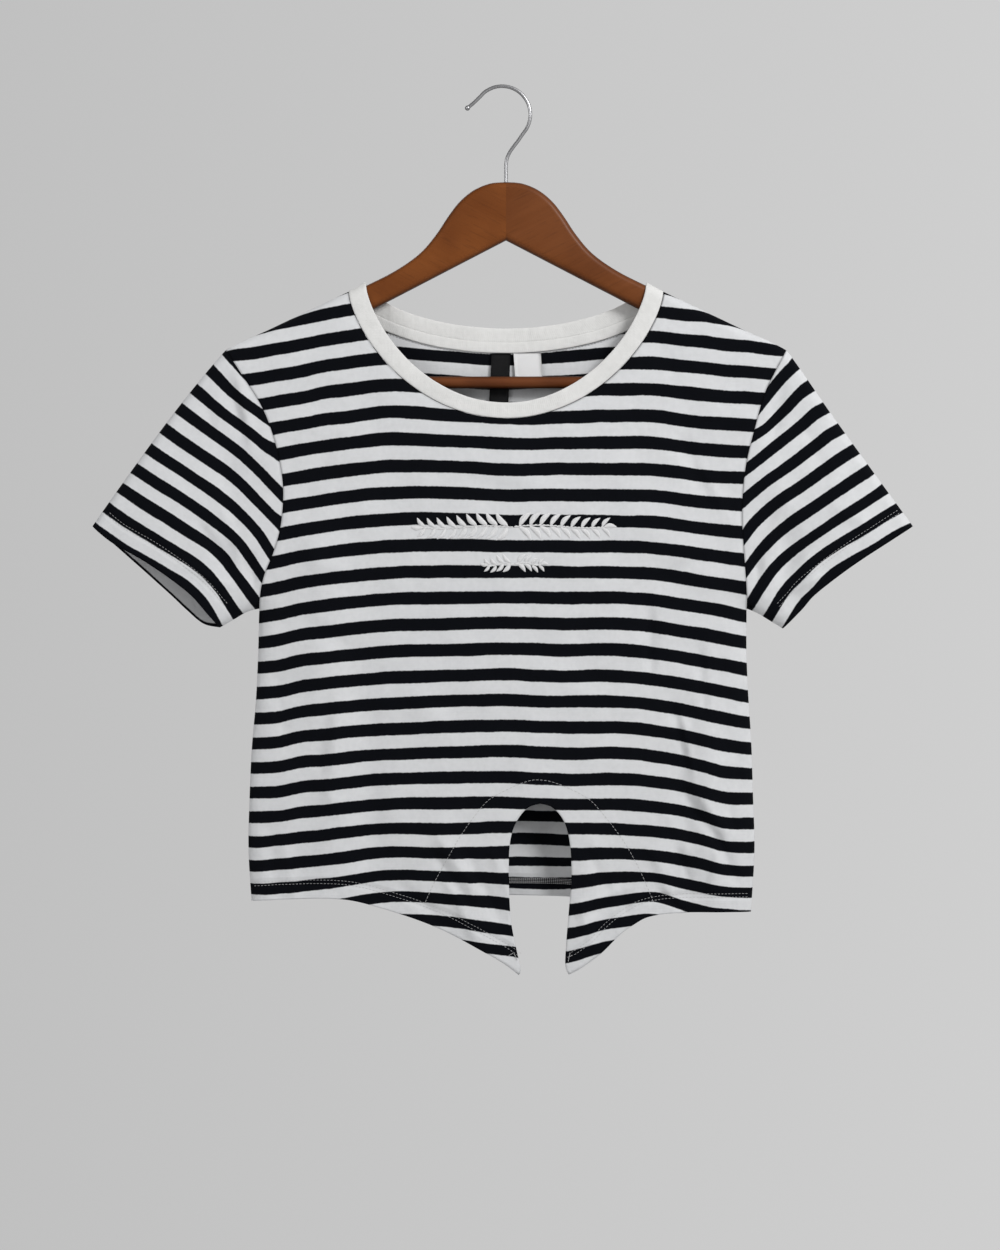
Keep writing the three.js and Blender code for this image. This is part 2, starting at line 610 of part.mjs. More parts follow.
// Rounds every corner of an open line that turns sharply
function roundCorners(corners, radius) {
  const SHARP = 0.6;
  const ARC_STEPS = 4;
  return corners.flatMap((corner, i) => {
    const [before, after] = [corners[i - 1], corners[i + 1]];
    if (!before || !after) return [corner];
    const from = Math.atan2(corner[1] - before[1], corner[0] - before[0]);
    const to = Math.atan2(after[1] - corner[1], after[0] - corner[0]);
    const turn = Math.atan2(Math.sin(to - from), Math.cos(to - from));
    if (Math.abs(turn) < SHARP) return [corner];
    const back = radius * Math.tan(Math.abs(turn) / 2);
    const start = [corner[0] - back * Math.cos(from), corner[1] - back * Math.sin(from)];
    const side = Math.sign(turn);
    const centre = [start[0] - side * radius * Math.sin(from), start[1] + side * radius * Math.cos(from)];
    return evenSteps(0, turn, ARC_STEPS).map((t) => [
      centre[0] + side * radius * Math.sin(from + t),
      centre[1] - side * radius * Math.cos(from + t),
    ]);
  });
}

function trouserBar() {
  return new THREE.CylinderGeometry(BAR_RADIUS, BAR_RADIUS, BAR_LENGTH, 16)
    .rotateZ(Math.PI / 2)
    .translate(MIDDLE, 0, BAR_Z);
}

// The hook: a straight shank, a sweep out to the right, most of a circle, and a tip that flares away
function hook() {
  const radius = HOOK_INSIDE + WIRE_RADIUS;
  const onCircle = (degrees) => {
    const turn = (degrees * Math.PI) / 180;
    return [radius * Math.cos(turn), -HOOK_INSIDE + radius * Math.sin(turn)];
  };
  const TIP = [[-23, -12.2], [-27.6, -16]];
  const line = [
    [MIDDLE, WOOD_TOP - SHANK_IN_WOOD], [MIDDLE, WOOD_TOP], [MIDDLE, -62], [MIDDLE + 0.8, -55.6], [7.6, -50.4],
    [13.6, -43.6], ...[-34, -14, 8, 30, 52, 72, 90, 108, 126, 142].map(onCircle), ...TIP,
  ];
  const curve = new THREE.CatmullRomCurve3(line.map(([x, z]) => new THREE.Vector3(x, 0, z)), false, "centripetal");
  const section = new THREE.Shape();
  const SIDES = 8;
  for (let i = 0; i < SIDES; i++) {
    const turn = (2 * Math.PI * (i + 0.5)) / SIDES;
    const at = [WIRE_RADIUS * Math.cos(turn), WIRE_RADIUS * Math.sin(turn)];
    if (i) section.lineTo(...at);
    else section.moveTo(...at);
  }
  const wire = new THREE.ExtrudeGeometry(section, { steps: 56, extrudePath: curve });
  const TIP_RADIUS = 2.1;
  const ball = new THREE.SphereGeometry(TIP_RADIUS, 10, 8).translate(TIP[1][0], 0, TIP[1][1]);
  return toGeometry(toSolid(wire).add(toSolid(ball)));
}

// Materials, in the finishes of the real pieces
const jersey = new THREE.MeshStandardMaterial({ color: "#7d7e80", roughness: 0.9, metalness: 0 });
const whiteJersey = new THREE.MeshStandardMaterial({ color: "#dededc", roughness: 0.9, metalness: 0 });
const blackSatin = new THREE.MeshStandardMaterial({ color: "#141416", roughness: 0.6, metalness: 0 });
const whiteSatin = new THREE.MeshStandardMaterial({ color: "#e6e6e6", roughness: 0.5, metalness: 0 });
const stainedWood = new THREE.MeshStandardMaterial({ color: "#7a4526", roughness: 0.4, metalness: 0 });
const chrome = new THREE.MeshStandardMaterial({ color: "#c8c8c8", roughness: 0.15, metalness: 1 });

const part = new THREE.Group();
function add(name, geometry, material) {
  const mesh = new THREE.Mesh(geometry, material);
  mesh.name = name;
  part.add(mesh);
}

add("front", frontPanel(), jersey);
add("back", backPanel(), jersey);
add("sleeve_left", sleeve(-1), jersey);
add("sleeve_right", sleeve(1), jersey);
add("neckband", neckband(), whiteJersey);
add("neck_tape", neckTape(), whiteJersey);
add("label_brand", label(BRAND_LABEL), blackSatin);
add("label_care", label(CARE_LABEL), whiteSatin);
add("hanger_wood", hangerWood(), stainedWood);
add("hanger_bar", trouserBar(), stainedWood);
add("hanger_hook", hook(), chrome);

export default part;
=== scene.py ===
# A short-sleeved crop top in striped cotton jersey, on a wooden hanger with a trouser bar and a wire hook.
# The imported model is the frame, in metres. Lengths below are in millimetres and each mesh is made in metres.
# The front faces -Y. Left and right are the viewer's. The origin is the top of the inside of the hook.
import math

import bmesh
import bpy
import numpy as np
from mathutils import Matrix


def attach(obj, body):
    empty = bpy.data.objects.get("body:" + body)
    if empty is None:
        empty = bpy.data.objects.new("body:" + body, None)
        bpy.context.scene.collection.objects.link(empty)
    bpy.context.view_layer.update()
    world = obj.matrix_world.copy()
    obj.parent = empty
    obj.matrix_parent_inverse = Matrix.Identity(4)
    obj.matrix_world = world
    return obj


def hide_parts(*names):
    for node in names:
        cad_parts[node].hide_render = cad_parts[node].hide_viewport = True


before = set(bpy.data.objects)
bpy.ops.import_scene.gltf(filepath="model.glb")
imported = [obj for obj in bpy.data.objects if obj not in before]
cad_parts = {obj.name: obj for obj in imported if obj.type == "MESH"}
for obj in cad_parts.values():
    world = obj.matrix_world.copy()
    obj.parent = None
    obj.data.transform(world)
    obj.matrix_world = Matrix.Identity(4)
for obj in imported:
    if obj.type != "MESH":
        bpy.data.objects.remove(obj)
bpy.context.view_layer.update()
MM = 0.001

# A side is -1 for the front and 1 for the back, a hand -1 for the left and 1 for the right
FRONT, BACK = SIDES = (-1, 1)
LEFT, RIGHT = HANDS = (-1, 1)

# Sizes that drive the whole garment. The first three are the same as in the solids.
MIDDLE = 3.2
SHOULDER_SLOPE = 0.477
EDGE_DEPTH = 8.2
SEAM_GAP = 0.12
JERSEY = 1.0
HEM_JERSEY = 1.7
HEM_DEPTH = 12.0
CUFF_DEPTH = 14.8

# Outlines seen from the front, each point an x and a z. They are the solids' own, apart from three of the
# cuffs' lines, which follow the photo more closely.
ARMHOLE = {
    LEFT: [
        (-220.8, -209.8), (-208, -229), (-192, -254.5), (-181.6, -281), (-175.5, -309),
        (-174.4, -330), (-176.8, -353), (-182.4, -372.5), (-190.4, -393), (-194, -416.5),
    ],
    RIGHT: [
        (227.2, -209.8), (218.4, -226), (209, -246), (201, -274), (195, -298.5),
        (192, -321), (191.2, -345), (192.8, -373), (194.8, -400), (195.6, -416.5),
    ],
}
SIDE = {
    LEFT: [(-195, -450), (-196.8, -489), (-200.2, -529), (-202, -569), (-202.8, -609), (-200.4, -650)],
    RIGHT: [(195.6, -450), (197, -485), (199.4, -523), (200.8, -565), (202, -610), (199.2, -658.6)],
}
SLEEVE_TOP = {
    LEFT: [(-262, -259.6), (-304, -317), (-327.5, -350.5)],
    RIGHT: [(262, -259), (299, -310), (328.6, -350.5)],
}
SLEEVE_UNDER = {
    LEFT: [(-225.6, -431.6), (-213.2, -424.4), (-203.2, -418.8)],
    RIGHT: [(224.6, -432.4), (214, -426), (204, -420)],
}
# By hand and side
CUFF = {
    (LEFT, FRONT): [(-311, -364), (-282, -380.8), (-251, -403.2), (-234.4, -421.6)],
    (LEFT, BACK): [(-304, -371.4), (-276.9, -395.5), (-264.9, -406.3), (-252.9, -417.6), (-239.6, -428.6)],
    (RIGHT, FRONT): [(310.4, -362.2), (288, -376.6), (269.8, -389.4), (249.4, -405.6), (239, -417.4)],
    (RIGHT, BACK): [(306, -360.5), (280, -376), (256, -395.5), (240, -412)],
}
HEM_FRONT = {
    LEFT: [(-167, -648), (-127, -648), (-95, -655.6), (-53, -670), (-7, -694)],
    RIGHT: [(147, -658.6), (119, -661.5), (104.6, -668.4), (93, -677.2), (79, -691), (64, -702)],
}
HEM_BACK = [(-100, -647), (0, -646), (100, -650)]
NOTCH_TOP = (30.4, -571.6)
NOTCH = {
    LEFT: [
        (22, -574), (15, -580.5), (9, -591.6), (6, -606), (5.4, -632), (7, -664), (11.5, -688),
        (15, -704),
    ],
    RIGHT: [
        (39, -574), (46, -580.5), (50.8, -589.5), (54, -604), (55.2, -628), (53, -659), (51, -684),
        (50.4, -701),
    ],
}
TAIL_TIP = {LEFT: (13.4, -708.4), RIGHT: (53.2, -708)}
FACING_STITCHES = [
    (-61.7, -651.7), (-54.1, -634.9), (-44.1, -616.5), (-32.6, -596.6), (-17.4, -575.9), (-6.6, -566),
    (17.9, -554.4), (31.7, -552.8), (47, -556.8), (66.9, -566.7), (77.6, -576.7), (94.4, -598.2),
    (105.9, -617.3), (114.3, -634.9), (121.2, -651.7),
]

NECK_INNER_HALF = 112
NECK_SEAM_HALF = 126
NECK_INNER_TOP = -156.4
NECK_POWER = 4 / 3  # above 1, the scoop is narrower than an ellipse
# Of each side: where the band is sewn on, and its inner edge
NECKLINES = {
    FRONT: ({"half": NECK_SEAM_HALF, "bottom": -265.2}, {"half": NECK_INNER_HALF, "bottom": -252.4}),
    BACK: ({"half": NECK_SEAM_HALF, "bottom": -203.8}, {"half": NECK_INNER_HALF, "bottom": -191.3}),
}

SHOULDER_REACH = EDGE_DEPTH
SIDE_REACH = 16
PAST_THE_END = 16  # how far a line is carried on past its end
FOLD_KEEP_OFF = 34  # no swelling or fold reaches full height nearer a folded edge than this
ROW_BELOW_NECK = -284
ROW_AT_NOTCH = -586
STEPS = {"fold": 9, "neck": 28, "chest": 38, "waist": 56, "hem": 54, "across": 74, "sleeve": 60}

# Broad swellings of each side: centre x and z, half widths, height
SWELLS = {
    FRONT: [
        (4, -400, 150, 190, 7), (10, -600, 150, 120, 5), (-262, -345, 50, 60, 4), (264, -345, 50, 60, 4),
    ],
    BACK: [
        (0, -430, 160, 230, 5), (-262, -345, 50, 60, 2.5), (264, -345, 50, 60, 2.5),
    ],
}
# Folds that the solids have too: start x and z, end x and z, width, height
FOLDS = {
    FRONT: [
        (-150, -300, -132, -640, 17, 3.4), (-112, -420, -100, -640, 12, -2.2),
        (158, -440, 172, -650, 12, 3.6), (140, -500, 147, -655, 10, -2.6), (100, -330, 172, -400, 14, 2),
        (-176, -400, -100, -360, 13, 2), (-60, -560, -8, -700, 14, 2.6), (74, -560, 62, -700, 11, 2.8),
        (-222, -250, -216, -410, 11, -2.4), (224, -330, 232, -420, 11, -2.8),
    ],
    BACK: [
        (-120, -260, -142, -645, 18, 3.6), (-58, -400, -66, -645, 14, -2.4), (96, -280, 128, -650, 18, 3.8),
        (34, -420, 40, -646, 15, 2.6), (170, -430, 168, -652, 10, -2.2),
    ],
}
# Fine creases: start x and z, end x and z, width, height
CREASES = {
    FRONT: [
        (134, -486, 145, -534, 3.6, -1.2), (142, -492, 152, -548, 3.6, 0.9),
        (138, -554, 171, -600, 4.4, -1.3), (148, -552, 180, -596, 4.4, 0.9), (178, -572, 200, -608, 4, -1),
        (117, -402, 118, -468, 4.5, -1.2), (156, -438, 161, -496, 4, -1.1), (188, -512, 190, -562, 4, -2.2),
        (168, -592, 190, -638, 4, -1.8), (138, -604, 148, -632, 3.2, -1.1), (122, -640, 144, -657, 3, -1.1),
        (126, -570, 150, -612, 5, 0.8), (184, -448, 152, -500, 5, -1), (186, -520, 160, -575, 4.5, 0.8),
        (172, -590, 160, -640, 4, -0.8), (118, -600, 136, -650, 5, 0.9), (-188, -446, -172, -520, 5, -0.9),
        (-190, -560, -182, -636, 4.5, -0.9), (-176, -590, -166, -646, 4.5, 0.8),
        (-166, -420, -120, -450, 6, -0.7), (-150, -540, -118, -600, 6, 0.7), (-36, -598, -4, -660, 5, -1),
        (-62, -602, -30, -646, 4, -1), (-56, -590, -22, -640, 4, 0.8), (-90, -630, -50, -664, 5, -0.8),
        (-138, -470, -146, -545, 6, -1), (-128, -470, -134, -560, 6, 0.8), (96, -644, 60, -664, 4, -0.9),
        (104, -634, 74, -652, 4, 0.8), (-50, -620, -20, -680, 4.5, 0.9), (-12, -600, 4, -640, 4, 0.9),
        (62, -598, 84, -640, 5, -1), (58, -640, 74, -690, 4.5, 0.8), (92, -622, 100, -662, 4.5, -0.7),
        (-130, -270, -158, -330, 6, -0.8), (138, -270, 164, -326, 6, -0.9), (150, -290, 178, -340, 5, 0.7),
        (168, -372, 130, -392, 6, -0.9), (-160, -372, -126, -388, 6, 0.7), (-40, -300, 36, -318, 8, 0.5),
        (22, -440, 70, -470, 9, -0.5), (-80, -470, -40, -520, 9, 0.6), (30, -500, 10, -556, 8, 0.6),
        (-212, -392, -240, -352, 4.5, -1.2), (-208, -404, -252, -382, 4.5, 1),
        (-206, -380, -226, -330, 4.5, 0.8), (-236, -262, -268, -300, 6, -0.7),
        (-222, -222, -207, -276, 5.5, -1.5), (-212, -228, -200, -284, 4.5, 1.1),
        (-240, -238, -232, -272, 5, -1), (-204, -366, -195, -414, 4.5, -2.2),
        (-250, -320, -284, -352, 6, 0.6), (214, -396, 246, -362, 4.5, -1.3), (218, -406, 252, -392, 4.5, 1),
        (208, -376, 228, -330, 4.5, 0.9), (240, -262, 258, -310, 6, -0.8), (226, -226, 216, -280, 5.5, -1.2),
        (206, -370, 199, -414, 4.5, -2), (256, -330, 292, -350, 6, 0.6),
    ],
    BACK: [
        (-180, -450, -120, -500, 6, -0.9), (182, -446, 120, -480, 6, -0.9), (-100, -240, -160, -290, 8, -0.8),
        (104, -240, 160, -284, 8, -0.8), (-30, -260, 44, -276, 9, 0.6), (-84, -540, -100, -640, 6, 0.8),
        (84, -520, 98, -640, 6, -0.8), (-14, -480, 4, -640, 8, -0.7), (150, -560, 156, -648, 5, 0.8),
        (-172, -540, -176, -640, 5, -0.8), (-212, -396, -244, -356, 5, -1.1),
        (-208, -408, -250, -392, 5, 0.9), (214, -398, 246, -360, 5, -1.1), (216, -408, 252, -388, 5, 0.9),
    ],
}
CREASE_GAIN = 2.0
# Shallow unevenness of hanging jersey: wave lengths across and down, lean, height
RIPPLES = [(71, 113, 0.4, 0.42), (43, 167, 1.7, 0.34), (29, 61, 2.9, 0.15), (97, 47, 4.2, 0.28)]

# Stripes: the upper edge of a dark one lies at this z down the middle, and they repeat by this much
FRONT_STRIPE_Z = -280.5
FRONT_PERIOD = 20.36
BACK_STRIPE_Z = -211.7
BACK_PERIOD = 19.28
BACK_HEM_FOLD_Z = -612
# How far below their level at the middle the front's stripes hang, read off the photo: a row for
# each z, a column for each x
SAG_X = [-222, -195, -178, -160, -142, -125, -90, -45, 0, 45, 90, 125, 142, 160, 178, 195, 222]
SAG_Z = [-709, -698, -672, -647, -626, -606, -565, -525, -464, -413, -342, -280, -240, -200]
SAG = [
    [6, 8, 7, 5, 0, -6, -12, -8, -1, 2.5, -9.5, -10, -6, 2, 7, 10, 12],
    [6, 8, 7, 5, 0, -6, -12, -11, -5, 2, -9.5, -10, -6, 2, 7, 10, 12],
    [6, 8, 7.4, 5.2, 2, -3, -9, -7.5, -0.5, 4.5, -6.5, -8, -3, 5, 8.5, 10.5, 12.5],
    [6, 8, 7.4, 5.6, 3.2, -0.5, -6, -4.4, -1, 5, -2, -5.5, 1.2, 6.5, 9.5, 11, 13],
    [9, 10.4, 8.4, 6.9, 4.9, 2.6, -2.1, -1.4, -0.4, 2, -0.4, 0.9, 4.6, 8.9, 13.4, 14.9, 16],
    [10, 11.7, 9.7, 7.2, 5.7, 3.2, -0.3, 0.2, -0.8, 0, 0.7, 2.7, 5.2, 9.7, 15.2, 16.2, 17],
    [13, 13, 12, 8.5, 7, 5, 1.5, 1, 0.5, 2, 2, 4.5, 7.5, 12.5, 17.5, 18, 19],
    [15, 14.7, 13.2, 9.2, 7.7, 5.7, 2.7, 1.2, 0.2, 1.7, 1.7, 4.7, 7.7, 12.2, 16.2, 18.7, 20],
    [16, 15.3, 13.8, 9.3, 7.3, 5.8, 2.8, 1.3, 0.3, 1.3, 1.3, 4.8, 7.3, 10.3, 13.3, 16.8, 18],
    [19, 15.8, 12.9, 8.6, 6.6, 4.6, 1.6, 0.6, -0.2, 0.4, 0.2, 2.6, 5.1, 7.9, 10.9, 14, 17],
    [16, 13.5, 10.5, 7.4, 4.4, 1.9, -1.1, -1.6, 0, 0, 0.4, 1.4, 3.4, 5.9, 7.4, 8.4, 10],
    [13, 10, 7.5, 4.5, 1.5, -0.5, -4, -2.5, 0, -0.5, -1.5, -0.5, 1.5, 3.5, 5, 5.5, 7],
    [12, 8.7, 6.2, 3.2, -0.3, -2.3, -6.3, -3, 0, -1, -2.8, -2.8, -0.8, 1.2, 2.7, 3.7, 6],
    [11, 8, 5, 2, -1.6, -4.6, -7.5, -3, 0, -1, -4, -3.8, -1.8, -0.3, 1.8, 3.4, 6],
]


def catmull(points, span=12):
    p = np.array([points[0], *points, points[-1]], float)
    t = (np.arange(span) / span)[:, None]
    pieces = []
    for a, b, c, d in zip(p, p[1:], p[2:], p[3:]):
        bend = 2 * b + (c - a) * t + (2 * a - 5 * b + 4 * c - d) * t**2 + (3 * b - a - 3 * c + d) * t**3
        pieces.append(bend / 2)
    return np.vstack([*pieces, p[-1:]])


def unit(vectors):
    return vectors / np.linalg.norm(vectors, axis=-1, keepdims=True)


def sideways(points):
    """Directions across a flat line of points, to the left of its run."""
    run = unit(np.gradient(points, axis=0))
    return np.stack([-run[:, 1], run[:, 0]], axis=-1)


def standing(flat):
    """Pairs of x and z as points or directions in the middle plane."""
    return np.insert(flat, 1, 0, axis=-1)


class Line:
    """A line through points, which gives the point at any length along it."""

    def __init__(self, points, bend=True):
        self.points = catmull(points) if bend else np.array(points, float)
        steps = np.hypot(*np.diff(self.points, axis=0).T)
        self.run = np.concatenate([[0], np.cumsum(steps)])
        self.length = self.run[-1]

    def at(self, s):
        s = np.asarray(s, float)
        return np.stack([np.interp(s, self.run, self.points[:, i]) for i in range(2)], axis=-1)

    def length_at_z(self, z):
        """Where a line that only falls reaches z."""
        return float(np.interp(-z, -self.points[:, 1], self.run))

    def distance(self, x, z):
        """From each point to the line, and the length along the line at the nearest place."""
        shape = np.shape(x)
        p = np.stack([np.ravel(x), np.ravel(z)], axis=-1)
        best = np.full(len(p), np.inf)
        where = np.zeros(len(p))
        for i in range(len(self.points) - 1):
            a = self.points[i]
            step = self.points[i + 1] - a
            size = step @ step
            if size < 1e-12:
                continue
            t = np.clip(((p - a) @ step) / size, 0, 1)
            gap = np.hypot(p[:, 0] - a[0] - t * step[0], p[:, 1] - a[1] - t * step[1])
            nearer = gap < best
            best[nearer] = gap[nearer]
            where[nearer] = self.run[i] + t[nearer] * math.sqrt(size)
        return best.reshape(shape), where.reshape(shape)

    def inset(self, by):
        """The same line moved sideways, to the left of its run for a positive number."""
        return Line(self.points + by * sideways(self.points), bend=False)


def smooth(t):
    c = np.clip(t, 0, 1)
    return c * c * (3 - 2 * c)


def shoulder_z(dx):
    return NECK_INNER_TOP - SHOULDER_SLOPE * (dx - NECK_INNER_HALF)


def half_neckline(neckline, hand):
    top = shoulder_z(neckline["half"])
    turn = np.linspace(0, math.pi / 2, 65)
    x = MIDDLE + hand * neckline["half"] * np.cos(turn)
    z = top - (top - neckline["bottom"]) * np.sin(turn) ** NECK_POWER
    return Line(np.stack([x, z], axis=-1), bend=False)


def extend(start, end):
    size = math.hypot(end[0] - start[0], end[1] - start[1])
    share = 1 + PAST_THE_END / size
    return tuple(a + (b - a) * share for a, b in zip(start, end))


def fold_line(points, reach):
    first = extend(points[1], points[0])
    last = extend(points[-2], points[-1])
    return Line([first, *points, last]), reach


def shoulder(hand):
    return [(MIDDLE + hand * dx, shoulder_z(dx)) for dx in (NECK_INNER_HALF, 150, 190)]


FOLD_LINES = [
    *(fold_line([*shoulder(hand), ARMHOLE[hand][0], *SLEEVE_TOP[hand]], SHOULDER_REACH) for hand in HANDS),
    *(fold_line([*SLEEVE_UNDER[hand], ARMHOLE[hand][-1], *SIDE[hand]], SIDE_REACH) for hand in HANDS),
]
SHOULDER_LINES = [line for line, _ in FOLD_LINES[:2]]


def nearest(lines, x, z):
    """From each point to the nearest of some lines."""
    return np.min([line.distance(x, z)[0] for line in lines], axis=0)


# Shares of a fold's length: how long it rises, where it ends, and how long it falls away before that
FOLD_RISE = 0.35
FOLD_END = 1.25
FOLD_FALL = 0.4


def ridge(x, z, x1, z1, x2, z2, wide, high):
    dx, dz = x2 - x1, z2 - z1
    t = ((x - x1) * dx + (z - z1) * dz) / (dx * dx + dz * dz)
    off = np.hypot(x - x1 - dx * t, z - z1 - dz * t)
    fade = smooth(t / FOLD_RISE) * smooth((FOLD_END - t) / FOLD_FALL)
    return high * fade * np.exp(-((off / wide) ** 2))


def relief(side, x, z):
    high = np.zeros_like(x)
    for cx, cz, wide, tall, rise in SWELLS[side]:
        high += rise * np.exp(-(((x - cx) / wide) ** 2) - ((z - cz) / tall) ** 2)
    for rows, gain in ((FOLDS, 1), (CREASES, CREASE_GAIN)):
        for row in rows[side]:
            high += gain * ridge(x, z, *row)
    for across, down, lean, rise in RIPPLES:
        high += rise * np.sin(x / across * 6.28 + lean * side) * np.sin(z / down * 6.28 + lean + x / 150)
    return high


def depth_at(side, x, z):
    """From the middle plane to the outside of the cloth."""
    depth = np.full(np.shape(x), EDGE_DEPTH)
    least = np.full(np.shape(x), np.inf)
    for line, reach in FOLD_LINES:
        gap, _ = line.distance(x, z)
        least = np.minimum(least, gap)
        t = np.minimum(gap / reach, 1)
        depth = np.minimum(depth, EDGE_DEPTH * np.sqrt(1 - (1 - t) ** 2))
    return depth + smooth(least / FOLD_KEEP_OFF) * relief(side, x, z) + SEAM_GAP / 2


def surface(side, x, z, lift=0.0):
    """Points on the cloth's outside, moved out by lift, and the outward directions there."""
    x, z = np.asarray(x, float), np.asarray(z, float)
    step = 0.6
    here = depth_at(side, x, z)
    slope_x = (depth_at(side, x + step, z) - here) / step
    slope_z = (depth_at(side, x, z + step) - here) / step
    out = unit(np.stack([-slope_x, np.full(x.shape, float(side)), -slope_z], axis=-1))
    at = np.stack([x, side * here, z], axis=-1)
    return at + out * np.asarray(lift)[..., None], out


def folded_steps(length, reach, fold_count, even_count):
    turn = np.linspace(0, math.pi / 2, fold_count + 1)
    return np.concatenate([reach * (1 - np.cos(turn)), np.linspace(reach, length, even_count + 1)[1:]])


def outer_rows(hand):
    """The outer edge of a half panel, and the lengths along it where the rows of four stretches start."""
    edge = Line([*ARMHOLE[hand], *SIDE[hand]])
    starts = (ROW_BELOW_NECK, ARMHOLE[hand][-1][1], ROW_AT_NOTCH)
    neck, armpit, notch = [edge.length_at_z(z) for z in starts]
    chest = armpit - folded_steps(armpit - neck, SIDE_REACH, STEPS["fold"], STEPS["chest"])[::-1]
    rows = {
        "neck": folded_steps(neck, SHOULDER_REACH, STEPS["fold"], STEPS["neck"]),
        "chest": chest,
        "waist": np.linspace(armpit, notch, STEPS["waist"] + 1),
        "hem": np.linspace(notch, edge.length, STEPS["hem"] + 1),
    }
    return edge, rows


def bowed(line, share):
    """How far a line strays from the straight one between its ends, at shares of its length."""
    straight = line.points[0] + (line.points[-1] - line.points[0]) * share[:, None]
    return line.at(share * line.length) - straight


def half_panel(hand, neckline, inner, hem):
    """Rows of x and z from a half panel's outer edge to its middle, and which points lie on a folded edge."""
    edge, rows = outer_rows(hand)
    shared = outer_rows(-1)[1]
    neck = half_neckline(neckline, hand)
    neck_points = neck.at(folded_steps(neck.length, SHOULDER_REACH, STEPS["fold"], STEPS["neck"]))
    bottom = neck.points[-1]
    span = shared["waist"][-1] - shared["chest"][0]
    shares = np.concatenate([shared["chest"][1:], shared["waist"][1:]]) - shared["chest"][0]
    middle = bottom + (inner.points[0] - bottom) * (shares / span)[:, None]
    down = np.linspace(0, 1, STEPS["hem"] + 1)[1:]
    inner_points = np.vstack([neck_points, middle, inner.at(down * inner.length)])
    lengths = np.concatenate([rows["neck"], rows["chest"][1:], rows["waist"][1:], rows["hem"][1:]])
    hem_share = np.concatenate([np.zeros(len(lengths) - len(down)), down**1.5])
    outer_points = edge.at(lengths)
    widths = np.hypot(*(inner_points - outer_points).T)
    grid = np.zeros((len(lengths), STEPS["fold"] + STEPS["across"] + 1, 2))
    for r, (outer, middle_point, width) in enumerate(zip(outer_points, inner_points, widths)):
        share = folded_steps(width, SIDE_REACH, STEPS["fold"], STEPS["across"]) / width
        grid[r] = outer + (middle_point - outer) * share[:, None] + hem_share[r] * bowed(hem, share)
    folded = np.zeros(grid.shape[:2], bool)
    folded[0] = True
    folded[len(rows["neck"]) + len(rows["chest"]) - 2 :, 0] = True
    return grid, folded


def grid_faces(rows, columns, first=0, ring_rows=False, ring_columns=False):
    """Quads between the neighbours in a grid of points, whose rows or columns may run round to a ring."""
    faces = []
    for r in range(rows if ring_rows else rows - 1):
        for c in range(columns if ring_columns else columns - 1):
            below, beside = (r + 1) % rows, (c + 1) % columns
            corners = ((r, c), (below, c), (below, beside), (r, beside))
            faces.append([first + i * columns + j for i, j in corners])
    return faces


def cloth_mesh(name, patches, closed=False, inside=0.0):
    """One closed shell from patches, which join where they share points.

    A patch is a grid and whether it is flipped. Each point of the grid has its x, y and z, a nought, its
    count of stripes, its distances from the hem and the seams, and 1 on a folded edge. On the inner wall,
    inside takes the place of the nought and says how much painted shade darkens it."""
    points, index, faces = [], {}, []
    for grid, flip in patches:
        rows, columns = grid.shape[:2]
        ids = []
        for point in grid.reshape(-1, grid.shape[-1]):
            key = tuple(np.round(point[:3] * 500).astype(int))
            if key not in index:
                index[key] = len(points)
                points.append(point)
            ids.append(index[key])
        for quad in grid_faces(rows, columns, ring_columns=closed):
            corners = [ids[i] for i in quad]
            faces.append(corners[::-1] if flip else corners)
    points = np.array(points)
    at, cloth, seams, folded = points[:, :3], points[:, 3:5], points[:, 5:7], points[:, 7] > 0
    faces = [f for f in (list(dict.fromkeys(q)) for q in faces) if len(f) > 2]
    normals = np.zeros_like(at)
    for f in faces:
        corner = at[f]
        normals[f] += np.cross(corner[1] - corner[0], corner[-1] - corner[0])
    normals[folded, 1] = 0
    normals /= np.linalg.norm(normals, axis=1, keepdims=True) + 1e-9
    wall = JERSEY + (HEM_JERSEY - JERSEY) * smooth((HEM_DEPTH - seams[:, :1]) / 2)
    count = len(points)
    rims = {}
    for f in faces:
        for a, b in zip(f, f[1:] + f[:1]):
            if rims.pop((b, a), None) is None:
                rims[(a, b)] = True
    shell = faces + [[i + count for i in f[::-1]] for f in faces]
    shell += [[b, a, a + count, b + count] for a, b in rims]
    inner_cloth = np.stack([np.full(count, inside), cloth[:, 1]], axis=-1)
    maps = {"cloth": np.vstack([cloth, inner_cloth]), "seams": np.vstack([seams, seams])}
    return mesh_object(name, np.vstack([at, at - normals * wall]), shell, maps)


def mesh_object(name, points, faces, uv_maps=None):
    """A smooth mesh from millimetres."""
    mesh = bpy.data.meshes.new(name)
    mesh.from_pydata((np.asarray(points) * MM).tolist(), [], faces)
    for map_name, values in (uv_maps or {}).items():
        layer = mesh.uv_layers.new(name=map_name)
        corners = np.zeros(len(mesh.loops), int)
        mesh.loops.foreach_get("vertex_index", corners)
        layer.data.foreach_set("uv", np.asarray(values)[corners].astype(np.float32).ravel())
    mesh.polygons.foreach_set("use_smooth", [True] * len(mesh.polygons))
    mesh.update()
    obj = bpy.data.objects.new(name, mesh)
    bpy.context.scene.collection.objects.link(obj)
    return obj


